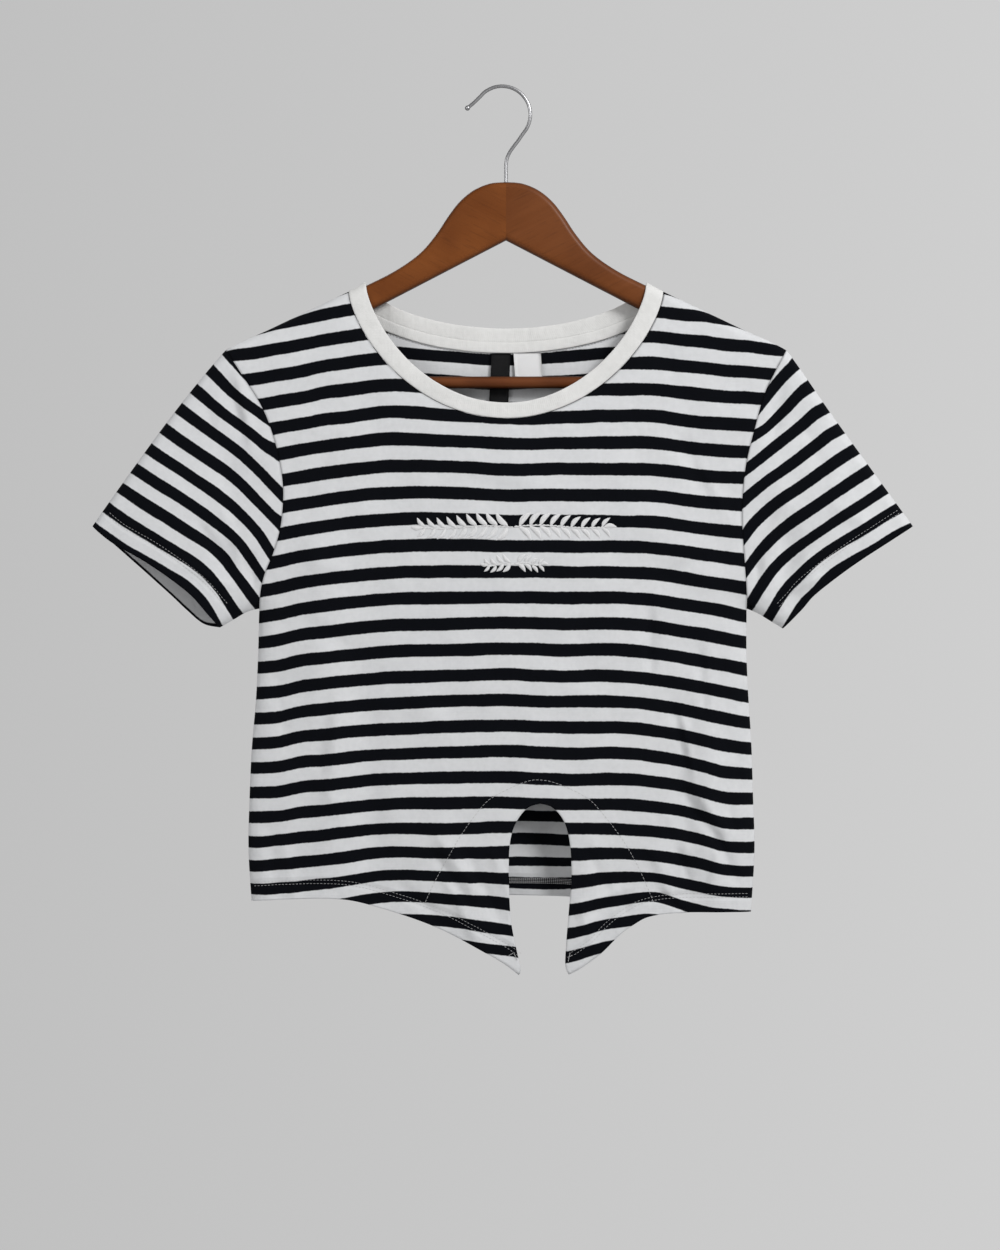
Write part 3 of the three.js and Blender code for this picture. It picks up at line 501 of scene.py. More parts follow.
def eased(places, values, at):
    """Values given at a few places, joined by smooth curves. Their last axis may follow the points."""
    places = np.array(places, float)
    slopes = np.gradient(values, places, axis=0)
    i = np.clip(np.searchsorted(places, at) - 1, 0, len(places) - 2)
    each = (i, np.arange(len(at))) if values.ndim > 1 else (i,)
    after = (i + 1, *each[1:])
    wide = places[i + 1] - places[i]
    t = np.clip((at - places[i]) / wide, 0, 1)
    rise = 3 * t**2 - 2 * t**3
    bend = (t**3 - 2 * t**2 + t) * slopes[each] + (t**3 - t**2) * slopes[after]
    return values[each] * (1 - rise) + values[after] * rise + wide * bend


def sag(x, z):
    flat_x, flat_z = np.ravel(x), np.ravel(z)
    rows = np.array([eased(SAG_X, np.array(row, float), flat_x) for row in SAG])
    return eased(SAG_Z, rows, flat_z).reshape(np.shape(x))


def over_shoulder(x, z):
    """How much more cloth lies over the turn at the shoulder than its height shows."""
    share = 1 - np.minimum(nearest(SHOULDER_LINES, x, z) / SHOULDER_REACH, 1)
    return SHOULDER_REACH * (np.arcsin(share) - share) / math.hypot(1, SHOULDER_SLOPE)


def front_stripes(x, z):
    return (FRONT_STRIPE_Z - z - over_shoulder(x, z) - sag(x, z)) / FRONT_PERIOD


def back_stripes(x, z):
    even = (sag(x, z) + sag(2 * MIDDLE - x, z)) / 2
    hem_fold = 0.2 * smooth((BACK_HEM_FOLD_Z - z) / 18)
    return (BACK_STRIPE_Z - z - over_shoulder(x, z) - even) / BACK_PERIOD + hem_fold


def front_hem(hand):
    return Line([SIDE[hand][-1], *HEM_FRONT[hand], TAIL_TIP[hand]])


def panel(name, side, halves, stripes):
    neckline, _ = NECKLINES[side]
    seams = [Line(ARMHOLE[hand]) for hand in HANDS] + [half_neckline(neckline, hand) for hand in HANDS]
    hems = [hem for _, _, hem in halves]
    patches = []
    for hand, inner, hem in halves:
        grid, folded = half_panel(hand, neckline, inner, hem)
        x, z = grid[..., 0], grid[..., 1]
        y = side * np.where(folded, SEAM_GAP / 2, depth_at(side, x, z))
        values = [x, y, z, 0 * x, stripes(x, z), nearest(hems, x, z), nearest(seams, x, z), folded]
        patches.append((np.stack(values, axis=-1), side * hand < 0))
    return cloth_mesh(name, patches)


def front_panel():
    halves = [(hand, Line([NOTCH_TOP, *NOTCH[hand], TAIL_TIP[hand]]), front_hem(hand)) for hand in HANDS]
    return panel("front_cloth", FRONT, halves, front_stripes)


def back_panel():
    middle = HEM_BACK[1]
    inner = Line([(middle[0], ROW_AT_NOTCH + 8), middle])
    halves = [(hand, inner, Line([SIDE[hand][-1], HEM_BACK[1 + hand], middle])) for hand in HANDS]
    return panel("back_cloth", BACK, halves, back_stripes)


# The upper edges of every other dark stripe of each sleeve, from the shoulder to the cuff, as read off the
# photo in its pixels. The stripes between them are spaced evenly.
SLEEVE_STRIPES = {
    LEFT: [
        [(211, 361), (223, 375), (234, 387), (245, 396), (259, 406)],
        [(181, 402), (197, 414), (213, 426), (229, 438), (245, 450), (260, 464), (275, 480)],
        [(153, 444), (169, 455), (189, 468), (209, 481), (225, 493), (240, 506), (255, 521), (265, 533),
         (273, 546)],
        [(124, 483), (141, 494), (161, 506), (181, 519), (201, 532), (217, 544), (229, 555), (240, 570),
         (255, 590)],
        [(94, 521), (109, 532), (129, 545), (149, 556), (169, 568), (189, 580), (205, 595), (213, 607),
         (221, 622)],
    ],
    RIGHT: [
        [(788, 362), (780, 371), (771, 382), (763, 393)],
        [(821, 403), (809, 410), (795, 423), (783, 433), (771, 442), (759, 452), (743, 465)],
        [(850, 446), (835, 455), (820, 465), (805, 476), (791, 486), (777, 495), (765, 504), (753, 515),
         (745, 524), (739, 533)],
        [(880, 485), (863, 497), (847, 507), (831, 517), (815, 528), (799, 539), (785, 550), (773, 561),
         (763, 573), (753, 588), (744, 602)],
        [(908, 524), (891, 532), (871, 544), (851, 555), (835, 565), (821, 576), (809, 589), (799, 599),
         (791, 611), (782, 627)],
    ],
}
SLEEVE_PERIOD = 19.8
CUFF_COUNT = 9
# On the back, a dark stripe starts this far from the cuff, and the stripes turn to follow it over this
# stretch
BACK_CUFF_DARK = 1.9
BACK_CUFF_BLEND = (5, 66)
SLEEVE_INNER_SHADE = 0.34  # how much painted shade darkens the sleeves' inner wall
PHOTO_HOOK = (502, 88)  # the pixel of the origin
PHOTO_PIXEL = 0.8


def from_photo(points):
    """Millimetres from pixels of the photo."""
    return [((x - PHOTO_HOOK[0]) * PHOTO_PIXEL, (PHOTO_HOOK[1] - y) * PHOTO_PIXEL) for x, y in points]


def beyond(line, x, z, hand):
    """How far each point lies past a stripe's edge, towards the cuff."""
    gap, where = line.distance(x, z)
    foot = line.at(where)
    ahead = line.at(where + 0.5) - line.at(where - 0.5)
    turn = ahead[..., 0] * (z - foot[..., 1]) - ahead[..., 1] * (x - foot[..., 0])
    return gap * np.sign(hand * turn)


def sleeve_stripes(hand, x, z):
    """The count of stripes at each point, from the edges on both sides of it."""
    count, before, last = None, None, 0
    for number, points in zip(range(1, CUFF_COUNT + 1, 2), SLEEVE_STRIPES[hand]):
        edge = from_photo(points)
        edge = Line([extend(edge[1], edge[0]), *edge, extend(edge[-2], edge[-1])])
        past = beyond(edge, x, z, hand)
        beyond_it = number + past / SLEEVE_PERIOD
        if before is None:
            count = beyond_it
        else:
            share = np.clip(before / np.maximum(before - past, 0.001), 0, 1)
            between = last + (number - last) * share
            count = np.where(before < 0, count, np.where(past < 0, between, beyond_it))
        before, last = past, number
    return count


def sleeve_lines(hand):
    """The fold over the top of a sleeve, the one under it, and its cuff on each side."""
    top = Line([ARMHOLE[hand][0], *SLEEVE_TOP[hand]])
    under = Line([ARMHOLE[hand][-1], *SLEEVE_UNDER[hand][::-1]])
    cuffs = {side: Line([top.points[-1], *CUFF[hand, side], under.points[-1]]) for side in SIDES}
    return top, under, cuffs


# Shares of the way down a sleeve where its first rows lie, beside the armhole
SLEEVE_FIRST_ROWS = np.array([0, 0.9, 2.0, 3.4, 5.2, 7.5]) / 180


def sleeve(hand, name):
    edge, rows = outer_rows(hand)
    lengths = np.concatenate([rows["neck"], rows["chest"][1:]])
    total = lengths[-1]
    top, under, cuffs = sleeve_lines(hand)
    share = np.concatenate([SLEEVE_FIRST_ROWS, np.linspace(0.055, 1, STEPS["sleeve"])])
    u = (lengths / total)[None, :, None]
    t = share[:, None, None]
    layers = []
    for side, cuff in cuffs.items():
        bends = [0, SHOULDER_REACH, total - SIDE_REACH, total]
        cuff_bends = [0, SHOULDER_REACH, cuff.length - SIDE_REACH, cuff.length]
        start, end = edge.at(lengths), cuff.at(np.interp(lengths, bends, cuff_bends))
        grid = start + (end - start) * t
        grid += bowed(top, share)[:, None] * (1 - u) + bowed(under, share)[:, None] * u
        grid[..., 0] += hand * SEAM_GAP * (1 - share[:, None])
        x, z = grid[..., 0], grid[..., 1]
        folded = np.zeros(x.shape, bool)
        folded[:, [0, -1]] = True
        y = np.where(folded, 0, side * depth_at(side, x, z))
        from_cuff = cuff.distance(x, z)[0]
        count = sleeve_stripes(hand, x, z)
        if side == BACK:
            cuff_count = CUFF_COUNT - (from_cuff - BACK_CUFF_DARK) / SLEEVE_PERIOD
            inwards = smooth((from_cuff - BACK_CUFF_BLEND[0]) / BACK_CUFF_BLEND[1])
            count = cuff_count + (count - cuff_count) * inwards
        from_hem = from_cuff - CUFF_DEPTH + HEM_DEPTH
        values = [x, y, z, 0 * x, count, from_hem, edge.distance(x, z)[0], folded]
        layers.append(np.stack(values, axis=-1))
    ring = np.concatenate([layers[0], layers[1][:, 1:-1][:, ::-1]], axis=1)
    return cloth_mesh(name, [(ring, hand == RIGHT)], closed=True, inside=SLEEVE_INNER_SHADE)


def grid_uv(u, v):
    return np.stack(np.broadcast_arrays(u, v), axis=-1).reshape(-1, 2)


def swept(name, centre, across, out, profile, ring=True):
    """A profile of (sideways, outwards) pairs, carried along a line of points with its own axes at each."""
    at = np.stack([centre + across * a + out * b for a, b in profile], axis=1)
    count, sides = at.shape[:2]
    run = np.concatenate([[0], np.cumsum(np.linalg.norm(np.diff(centre, axis=0), axis=1))]) / 10
    uv = grid_uv(run[:, None], np.linspace(0, 1, sides)[None, :])
    faces = grid_faces(count, sides, ring_rows=ring, ring_columns=True)
    if not ring:
        faces.append(list(range(sides)))
        faces.append(list(range((count - 1) * sides, count * sides))[::-1])
    return mesh_object(name, at.reshape(-1, 3), faces, {"cloth": uv})


def rounded_profile(half_wide, half_thick, sides=16, power=0.55):
    """Sideways and outwards pairs round an oval. A power below 1 makes it fuller at its corners."""
    turns = np.linspace(0, 2 * math.pi, sides, endpoint=False)
    oval = np.stack([np.cos(turns), np.sin(turns)], axis=-1)
    return np.sign(oval) * np.abs(oval) ** power * (half_wide, half_thick)


# How deep the middle of the rib lies in the cloth, half its thickness, and how much of its height it fills
BAND_SINK = 0.55
BAND_HALF_THICK = 0.95
BAND_FILL = 0.97


def neckband():
    """White rib, folded double: one ring from the front over both shoulders to the back."""
    inners, seams, sides = [], [], []
    for side, hand in ((FRONT, LEFT), (FRONT, RIGHT), (BACK, RIGHT), (BACK, LEFT)):
        lines = [half_neckline(shape, hand) for shape in NECKLINES[side]]
        points = [line.at(folded_steps(line.length, SHOULDER_REACH, 8, 44)) for line in lines]
        if side != hand:
            points = [p[::-1] for p in points]
        seams.append(points[0][:-1])
        inners.append(points[1][:-1])
        sides.append(np.full(len(points[0]) - 1, side))
    seam, inner = np.vstack(seams), np.vstack(inners)
    side = np.concatenate(sides)
    middle = (seam * BAND_FILL + inner) / (1 + BAND_FILL)
    at, out = np.zeros((len(middle), 3)), np.zeros((len(middle), 3))
    for s in SIDES:
        pick = side == s
        at[pick], out[pick] = surface(s, middle[pick, 0], middle[pick, 1], -BAND_SINK)
    hands = np.sign(middle[:, :1] - MIDDLE)
    up = np.hstack([hands * SHOULDER_SLOPE, 0 * hands, 1 + 0 * hands]) / math.hypot(1, SHOULDER_SLOPE)
    lean = np.minimum(nearest(SHOULDER_LINES, middle[:, 0], middle[:, 1]) / SHOULDER_REACH, 1)[:, None]
    flat = at + BAND_SINK * out
    out = unit(up * (1 - lean) + out * np.sqrt(1 - (1 - lean) ** 2))
    at = flat - BAND_SINK * out
    half = np.linalg.norm(inner - seam, axis=1, keepdims=True) / 2
    across = unit(standing(inner - seam))
    across = unit(across - out * np.sum(across * out, axis=1, keepdims=True))
    profile = rounded_profile(1, BAND_HALF_THICK, sides=20)
    return swept("neckband_rib", at, across * half * BAND_FILL, out, profile)


# The tape ends this far from the shoulder's top and laps this far over the seam. The lifts are those of the
# tape's middle and of the labels over the outside of the back, so both lie inside.
TAPE_WIDTH = 7.6
TAPE_END = 22
TAPE_LAP = 1.2
TAPE_LIFT = -JERSEY - 1.1
LABEL_LIFT = -JERSEY - 1.6
TAPE_STITCH_GAP = 0.9


def tape_frame(from_seam, lift):
    """Points under the back neck seam, from the left shoulder to the right one, and the axes there."""
    halves = []
    for hand in HANDS:
        seam = half_neckline(NECKLINES[BACK][0], hand)
        at = seam.at(np.linspace(TAPE_END, seam.length, 90))
        halves.append(at if hand < 0 else at[::-1][1:])
    line = np.vstack(halves)
    down = -sideways(line)
    at = line + down * from_seam
    points, out = surface(BACK, at[:, 0], at[:, 1], lift)
    return points, standing(down), -out


def neck_tape():
    points, across, out = tape_frame((TAPE_WIDTH - TAPE_LAP) / 2, TAPE_LIFT)
    profile = rounded_profile((TAPE_WIDTH + TAPE_LAP) / 2, 0.45, 12)
    return swept("neck_tape_band", points, across, out, profile, ring=False)


# Labels: x, width, top, height, how far they lean sideways, thickness, how far their foot comes forward
DARK_LABEL = (-8.4, 15.2, -211.6, 50, 2.2, 0.5, 1.6)
PALE_LABEL = (9.2, 22, -211.4, 22, -1.6, 0.3, 1.2)


def label(name, x, wide, top, tall, lean, thick, forward):
    """A strip sewn in at its top edge, that leans sideways and comes away from the back towards its foot."""
    rows, columns = 24, 8
    v = np.linspace(0, 1, rows)[:, None]
    u = np.linspace(0, 1, columns)[None, :]
    px = x + wide * u - lean * v
    pz = top - tall * v + 0 * u
    points, _ = surface(BACK, px, pz, LABEL_LIFT)
    curl = forward * v**2 + 0.5 * np.sin(u * math.pi) * v
    both = []
    for lift in (0, thick):
        at = points.copy()
        at[..., 1] -= curl + lift
        both.append(at.reshape(-1, 3))
    n = rows * columns
    faces = [quad[::-1] for quad in grid_faces(rows, columns)] + grid_faces(rows, columns, n)
    rim = [*range(columns - 1), *range(columns - 1, n - 1, columns), *range(n - 1, n - columns, -1),
           *range(n - columns, 0, -columns)]
    faces += [[a, b, b + n, a + n] for a, b in zip(rim, rim[1:] + rim[:1])]
    uv = grid_uv(u * wide / 10, v * tall / 10)
    return mesh_object(name, np.vstack(both), faces, {"cloth": np.vstack([uv, uv])})


# Stitches: the distance between them, length, radius and height over the outside of the cloth
TOP_STITCH = (2.8, 1.7, 0.16, 0.04)
COVER_STITCH = (1.6, 1.15, 0.32, -HEM_JERSEY - 0.2)
FACING_STITCH = (3.2, 2.3, 0.17, 0.05)
TAPE_STITCH = (2.6, 1.5, 0.26, -JERSEY - 0.2)
BAR_STITCH = (1.5, 1.2, 0.3, 0.15)
# Corners round a stitch, and the shares of its length where its rings lie, with their sizes
STITCH_SECTION = 5
STITCH_RINGS = [(0.0, 0.35), (0.18, 0.95), (0.5, 1.1), (0.82, 0.95), (1.0, 0.35)]
HEM_STITCH_ROWS = (HEM_DEPTH, HEM_DEPTH + 2.8)
COVER_STITCH_ROWS = (9.8, 11, 12.2, 13.4)
TIE_BARS = [
    ((4.6, -693), (9.2, -690.5)), ((12.4, -697), (9, -690)),
    ((51.6, -694.5), (56.6, -692)), ((52.6, -698), (54.2, -690)),
]


def stitches(name, rows):
    """One mesh of short raised threads. Each row is a side, a line, and the four sizes of a stitch."""
    points, faces = [], []
    around = 2 * math.pi * np.arange(STITCH_SECTION) / STITCH_SECTION
    for side, line, pitch, length, radius, lift in rows:
        starts = np.arange(pitch / 2, line.length - length, pitch)
        a, b = line.at(starts), line.at(starts + length)
        pa, na = surface(side, a[:, 0], a[:, 1], lift)
        pb, _ = surface(side, b[:, 0], b[:, 1], lift)
        if lift < 0:
            na = -na
        for p, q, out in zip(pa, pb, na):
            wide = np.cross((q - p) / (np.linalg.norm(q - p) + 1e-9), out)
            ring = np.cos(around)[:, None] * wide + np.sin(around)[:, None] * out
            base = len(points)
            for t, size in STITCH_RINGS:
                bow = math.sin(math.pi * t) * radius * 0.9
                points.extend(p + (q - p) * t + out * bow + ring * radius * size)
            quads = grid_faces(len(STITCH_RINGS), STITCH_SECTION, base, ring_columns=True)
            faces += [quad[::-1] for quad in quads]
            faces.append(list(range(base, base + STITCH_SECTION))[::-1])
            faces.append(list(range(len(points) - STITCH_SECTION, len(points))))
    return mesh_object(name, points, faces)


def trimmed(line, before, after):
    """A line without its first and last stretch."""
    end = line.length - after
    return Line(line.at(np.linspace(before, end, max(12, int((end - before) / 3)))), bend=False)


def sewing():
    """Hem, cuff and facing stitches."""
    back = Line([SIDE[LEFT][-1], *HEM_BACK, SIDE[RIGHT][-1]])
    rows = []
    for offset in HEM_STITCH_ROWS:
        for hand in HANDS:
            rows.append((FRONT, trimmed(front_hem(hand).inset(-hand * offset), 2, 9), *TOP_STITCH))
        rows.append((BACK, trimmed(back.inset(offset), 2, 2), *TOP_STITCH))
        for hand in HANDS:
            for side, cuff in sleeve_lines(hand)[2].items():
                inset = cuff.inset(-hand * (CUFF_DEPTH + offset - HEM_DEPTH))
                rows.append((side, trimmed(inset, 3, 8), *TOP_STITCH))
    for offset in COVER_STITCH_ROWS:
        rows.append((BACK, trimmed(back.inset(offset), 4, 4), *COVER_STITCH))
    rows.append((FRONT, Line(FACING_STITCHES), *FACING_STITCH))
    return stitches("topstitching", rows)


def neck_stitches():
    """The dotted row along the lower edge of the tape, inside the back of the neck."""
    points, _, _ = tape_frame(TAPE_WIDTH + TAPE_STITCH_GAP, 0)
    return stitches("neck_tape_stitches", [(BACK, Line(points[:, [0, 2]], bend=False), *TAPE_STITCH)])


def tie_bars():
    """Two small bars of thread at the end of each tie."""
    return stitches("tie_bars", [(FRONT, Line(np.linspace(*ends, 3)), *BAR_STITCH) for ends in TIE_BARS])


# The embroidery on the chest is a plain sprig of leaves, worked in white satin stitch

SPRIGS = [
    {"middle": 9.2, "z": -351.6, "half": 82, "leaf": 14.6, "pairs": 9, "thick": 4.6},
    {"middle": 9.6, "z": -381.2, "half": 27.2, "leaf": 9.4, "pairs": 4, "thick": 3.4},
]


def stem(sprig, hand, share, spared):
    """A point on a sprig's wavy stem, which ends short of the sprig by a share of a leaf."""
    x = sprig["middle"] + hand * share * (sprig["half"] - sprig["leaf"] * spared)
    return x, sprig["z"] + 1.1 * math.sin(share * math.pi * 2)


def leaf(points, faces, uvs, foot, angle, length, width, height=0.85):
    """One padded satin leaf on the front, from its foot towards angle."""
    rows, columns = 11, 7
    t = np.linspace(0, 1, rows)[:, None]
    s = np.linspace(-1, 1, columns)[None, :]
    half = width * np.sin(np.pi * t**0.85) ** 0.8 + 0.12
    bend = 0.10 * length * np.sin(np.pi * t)
    along = t * length + 0 * s
    aside = s * half + bend
    x = foot[0] + along * math.cos(angle) - aside * math.sin(angle)
    z = foot[1] + along * math.sin(angle) + aside * math.cos(angle)
    lift = 0.06 + height * np.sqrt(np.clip(1 - s**2, 0, 1)) * np.clip(half / width, 0, 1)
    at, _ = surface(FRONT, x, z, lift)
    faces += [quad[::-1] for quad in grid_faces(rows, columns, len(points))]
    points.extend(at.reshape(-1, 3))
    uvs.extend(grid_uv(along / 10, s * half / 10))


def embroidery():
    points, faces, uvs = [], [], []
    for sprig in SPRIGS:
        pairs, size, thick = sprig["pairs"], sprig["leaf"], sprig["thick"]
        steps = int(sprig["half"] / 3.4)
        for hand, outwards in ((LEFT, math.pi), (RIGHT, 0)):
            for share in (np.arange(pairs) + 0.55) / pairs:
                shrink = 1 - 0.35 * share
                x, z = stem(sprig, hand, share, 0.55)
                for up in (-1, 1):
                    angle = outwards + hand * up * math.radians(48)
                    leaf(points, faces, uvs, (x, z + 0.4 * up), angle, size * shrink, thick * shrink / 2)
            leaf(points, faces, uvs, stem(sprig, hand, 1, 0.7), outwards, size * 0.7, thick * 0.4)
            for share in (np.arange(steps) + 0.1) / steps:
                leaf(points, faces, uvs, stem(sprig, hand, share, 0.5), outwards, 3.9, 0.55, 0.45)
    return mesh_object("embroidery", points, faces, {"cloth": np.array(uvs)})


# The hanger

HANGER_HALF = 6.0
EDGE_ROUND = 5.0
ARM_END = 213
WOOD_TOP = -75.4
REST_DROP = 1.7 * math.hypot(1, SHOULDER_SLOPE)
BAR_Z = -235.6
BAR_RADIUS = 4.8
BAR_LENGTH = 412
WIRE_RADIUS = 1.45
HOOK_INSIDE = 21.2
SHANK_IN_WOOD = 16
TIP_RADIUS = 2.1


def round_corners(corners, radius, sharp=0.6, steps=6):
    out = [corners[0]]
    for before, corner, after in zip(corners, corners[1:], corners[2:]):
        start = math.atan2(corner[1] - before[1], corner[0] - before[0])
        end = math.atan2(after[1] - corner[1], after[0] - corner[0])
        turn = math.atan2(math.sin(end - start), math.cos(end - start))
        if abs(turn) < sharp:
            out.append(corner)
            continue
        back = radius * math.tan(abs(turn) / 2)
        side = math.copysign(1, turn)
        first = (corner[0] - back * math.cos(start), corner[1] - back * math.sin(start))
        centre = (first[0] - side * radius * math.sin(start), first[1] + side * radius * math.cos(start))
        for i in range(steps + 1):
            angle = start + turn * i / steps
            reach = side * radius
            out.append((centre[0] + reach * math.sin(angle), centre[1] - reach * math.cos(angle)))
    return [*out, corners[-1]]


def arm_top(dx):
    return shoulder_z(dx) - REST_DROP


def wood_outline():
    upper = [
        (0, WOOD_TOP), (13, -76.6), (26, -82), (37, -91), (46, -102.5), (56, -117.5), (69, -132.5),
        (88, -146), (NECK_INNER_HALF, arm_top(NECK_INNER_HALF)), (150, arm_top(150)),
    ]
    upper = [tuple(p) for p in catmull(upper, 6)]
    lower = [(ARM_END - 21, -246.5), (ARM_END - 21, -230), (166, -209), (106, -177), (0, -122)]
    half = round_corners([*upper, (ARM_END, arm_top(ARM_END)), (ARM_END, -246.5), *lower], 6.5)
    return [(MIDDLE + dx, z) for dx, z in half] + [(MIDDLE - dx, z) for dx, z in half[1:-1]][::-1]


def applied(obj):
    """A curve object turned into a mesh of the same name."""
    graph = bpy.context.evaluated_depsgraph_get()
    mesh = bpy.data.meshes.new_from_object(obj.evaluated_get(graph))
    name = obj.name
    matrix = obj.matrix_world.copy()
    bpy.data.objects.remove(obj)
    mesh.transform(matrix)
    made = bpy.data.objects.new(name, mesh)
    bpy.context.scene.collection.objects.link(made)
    return made


def hanger_wood():
    curve = bpy.data.curves.new("hanger_board", "CURVE")
    curve.dimensions = "2D"
    curve.fill_mode = "BOTH"
    curve.extrude = (HANGER_HALF - EDGE_ROUND) * MM
    curve.bevel_depth = EDGE_ROUND * MM
    curve.bevel_resolution = 5
    curve.offset = -EDGE_ROUND * MM
    outline = wood_outline()
    spline = curve.splines.new("POLY")
    spline.points.add(len(outline) - 1)
    for point, (x, z) in zip(spline.points, outline):
        point.co = (x * MM, z * MM, 0, 1)
    spline.use_cyclic_u = True
    obj = bpy.data.objects.new("hanger_board", curve)
    obj.rotation_euler = (math.pi / 2, 0, 0)
    bpy.context.scene.collection.objects.link(obj)
    bpy.context.view_layer.update()
    made = applied(obj)
    bm = bmesh.new()
    bm.from_mesh(made.data)
    bmesh.ops.remove_doubles(bm, verts=bm.verts, dist=0.00002)
    everything = [*bm.verts, *bm.edges, *bm.faces]
    bmesh.ops.bisect_plane(bm, geom=everything, plane_co=(MIDDLE * MM, 0, 0), plane_no=(1, 0, 0))
    bmesh.ops.triangulate(bm, faces=[f for f in bm.faces if len(f.verts) > 4])
    bm.to_mesh(made.data)
    bm.free()
    made.data.polygons.foreach_set("use_smooth", [True] * len(made.data.polygons))
    made.data.set_sharp_from_angle(angle=math.radians(35))
    return made


def round_bar(name, centre, side, radius, corners):
    profile = rounded_profile(radius, radius, corners, 1.0)
    return swept(name, centre, side, np.array([0, 1.0, 0]), profile, ring=False)


def trouser_bar():
    ends = np.linspace(-BAR_LENGTH / 2, BAR_LENGTH / 2, 80) + MIDDLE
    centre = np.stack([ends, 0 * ends, 0 * ends + BAR_Z], axis=-1)
    return round_bar("hanger_rod", centre, np.array([0, 0, 1.0]), BAR_RADIUS, 28)


def hook_wire():
    radius = HOOK_INSIDE + WIRE_RADIUS
    circle = [
        (radius * math.cos(math.radians(a)), -HOOK_INSIDE + radius * math.sin(math.radians(a)))
        for a in (-28, -10, 8, 26, 44, 60, 76, 92, 108, 126, 142)
    ]
    shank = [(MIDDLE, z) for z in (WOOD_TOP - SHANK_IN_WOOD, -80, -71, -64.5)]
    neck = [(MIDDLE + 0.2, -59.4), (MIDDLE + 1.3, -54.8), (6.8, -50.4), (9.8, -46.2), (13, -42), (16, -37.6)]
    line = Line([*shank, *neck, *circle, (-23, -12.2), (-27.6, -16)])
    at = line.at(np.linspace(0, line.length, 150))
    centre = standing(at)
    wire = round_bar("hook_wire", centre, standing(sideways(at)), WIRE_RADIUS, 16)
    turn = np.linspace(0.02, math.pi - 0.02, 12)
    ball_at = centre[-1] + np.stack([0 * turn, 0 * turn, TIP_RADIUS * np.cos(turn)], axis=-1)
    turns = np.linspace(0, 2 * math.pi, 16, endpoint=False)
    around = TIP_RADIUS * np.array([(math.cos(a), math.sin(a), 0) for a in turns])
    grid = ball_at[:, None] + np.sin(turn)[:, None, None] * around
    ball = mesh_object("hook_tip", grid.reshape(-1, 3), grid_faces(len(turn), 16, ring_columns=True))
    return wire, ball


# Materials
SURFACE = "Principled BSDF"


def rgba(colour):
    """A colour with its alpha, from three numbers or from one for a grey. A socket stays as it is."""
    if isinstance(colour, (int, float)):
        return (colour, colour, colour, 1)
    return (*colour, 1) if isinstance(colour, tuple) else colour


class Nodes:
    """The node tree of a material or world, with a short way to add and join nodes."""

    def __init__(self, owner):
        owner.use_nodes = True
        self.owner = owner
        self.tree = owner.node_tree

    def feed(self, node, inputs):
        for key, value in inputs.items():
            if isinstance(value, bpy.types.NodeSocket):
                self.tree.links.new(value, node.inputs[key])
            else:
                node.inputs[key].default_value = value

    def add(self, kind, inputs, **settings):
        node = self.tree.nodes.new(kind)
        for key, value in settings.items():
            setattr(node, key, value)
        self.feed(node, inputs)
        return node

    def finished(self, shader, inputs):
        self.feed(self.tree.nodes[shader], inputs)
        return self.owner

    def math(self, operation, *values):
        return self.add("ShaderNodeMath", dict(enumerate(values)), operation=operation).outputs[0]

    def wave(self, value, length):
        return self.math("SINE", self.math("MULTIPLY", value, 2 * math.pi / length))

    def ramp(self, value, *stops):
        node = self.add("ShaderNodeValToRGB", {"Fac": value})
        elements = node.color_ramp.elements
        while len(elements) < len(stops):
            elements.new(0.5)
        for element, (place, colour) in zip(elements, stops):
            element.position = place
            element.color = rgba(colour)
        return node.outputs["Color"]

    def noise(self, vector, scale, detail):
        inputs = {"Vector": vector, "Scale": scale, "Detail": detail}
        return self.add("ShaderNodeTexNoise", inputs).outputs["Fac"]

    def jitter(self, vector, scale, size):
        """Noise that swings about zero."""
        return self.math("MULTIPLY", self.math("SUBTRACT", self.noise(vector, scale, 2), 0.5), size)

    def mix(self, share, a, b, blend="MIX"):
        inputs = {0: share, 6: rgba(a), 7: rgba(b)}
        return self.add("ShaderNodeMix", inputs, data_type="RGBA", blend_type=blend).outputs[2]

    def multiply(self, a, b):
        return self.mix(1.0, a, b, "MULTIPLY")

    def bump(self, height, distance, strength, after=None):
        inputs = {"Height": height, "Distance": distance, "Strength": strength}
        if after is not None:
            inputs["Normal"] = after
        return self.add("ShaderNodeBump", inputs).outputs["Normal"]

    def stretch(self, vector, scale, turn=0.0):
        inputs = {"Vector": vector, "Scale": scale, "Rotation": (0, turn, 0)}
        return self.add("ShaderNodeMapping", inputs).outputs[0]

    def split(self, vector):
        return self.add("ShaderNodeSeparateXYZ", {0: vector}).outputs

    def uv(self, name):
        return self.split(self.add("ShaderNodeUVMap", {}, uv_map=name).outputs[0])

    def place(self):
        return self.add("ShaderNodeTexCoord", {}).outputs["Object"]

    def flatness(self):
        """1 where the surface faces the front or the back, 0 where it faces up or sideways."""
        return self.math("ABSOLUTE", self.split(self.add("ShaderNodeNewGeometry", {}).outputs["Normal"])[1])


def new_material(name):
    return Nodes(bpy.data.materials.new(name))


def knit_bump(nodes, place, strength):
    """Fine upright ribs of knit stitches, broken up by noise."""
    split = nodes.split(place)
    stitch = nodes.math("ADD", nodes.wave(split[0], 0.0011), nodes.wave(split[2], 0.0013))
    height = nodes.math("ADD", nodes.math("MULTIPLY", stitch, 0.25), nodes.noise(place, 900, 2))
    soft = nodes.bump(nodes.noise(place, 70, 3), 0.0014, 0.55, after=nodes.bump(height, 0.00018, strength))
    return nodes.bump(nodes.noise(place, 24, 2), 0.0045, 0.5, after=soft)


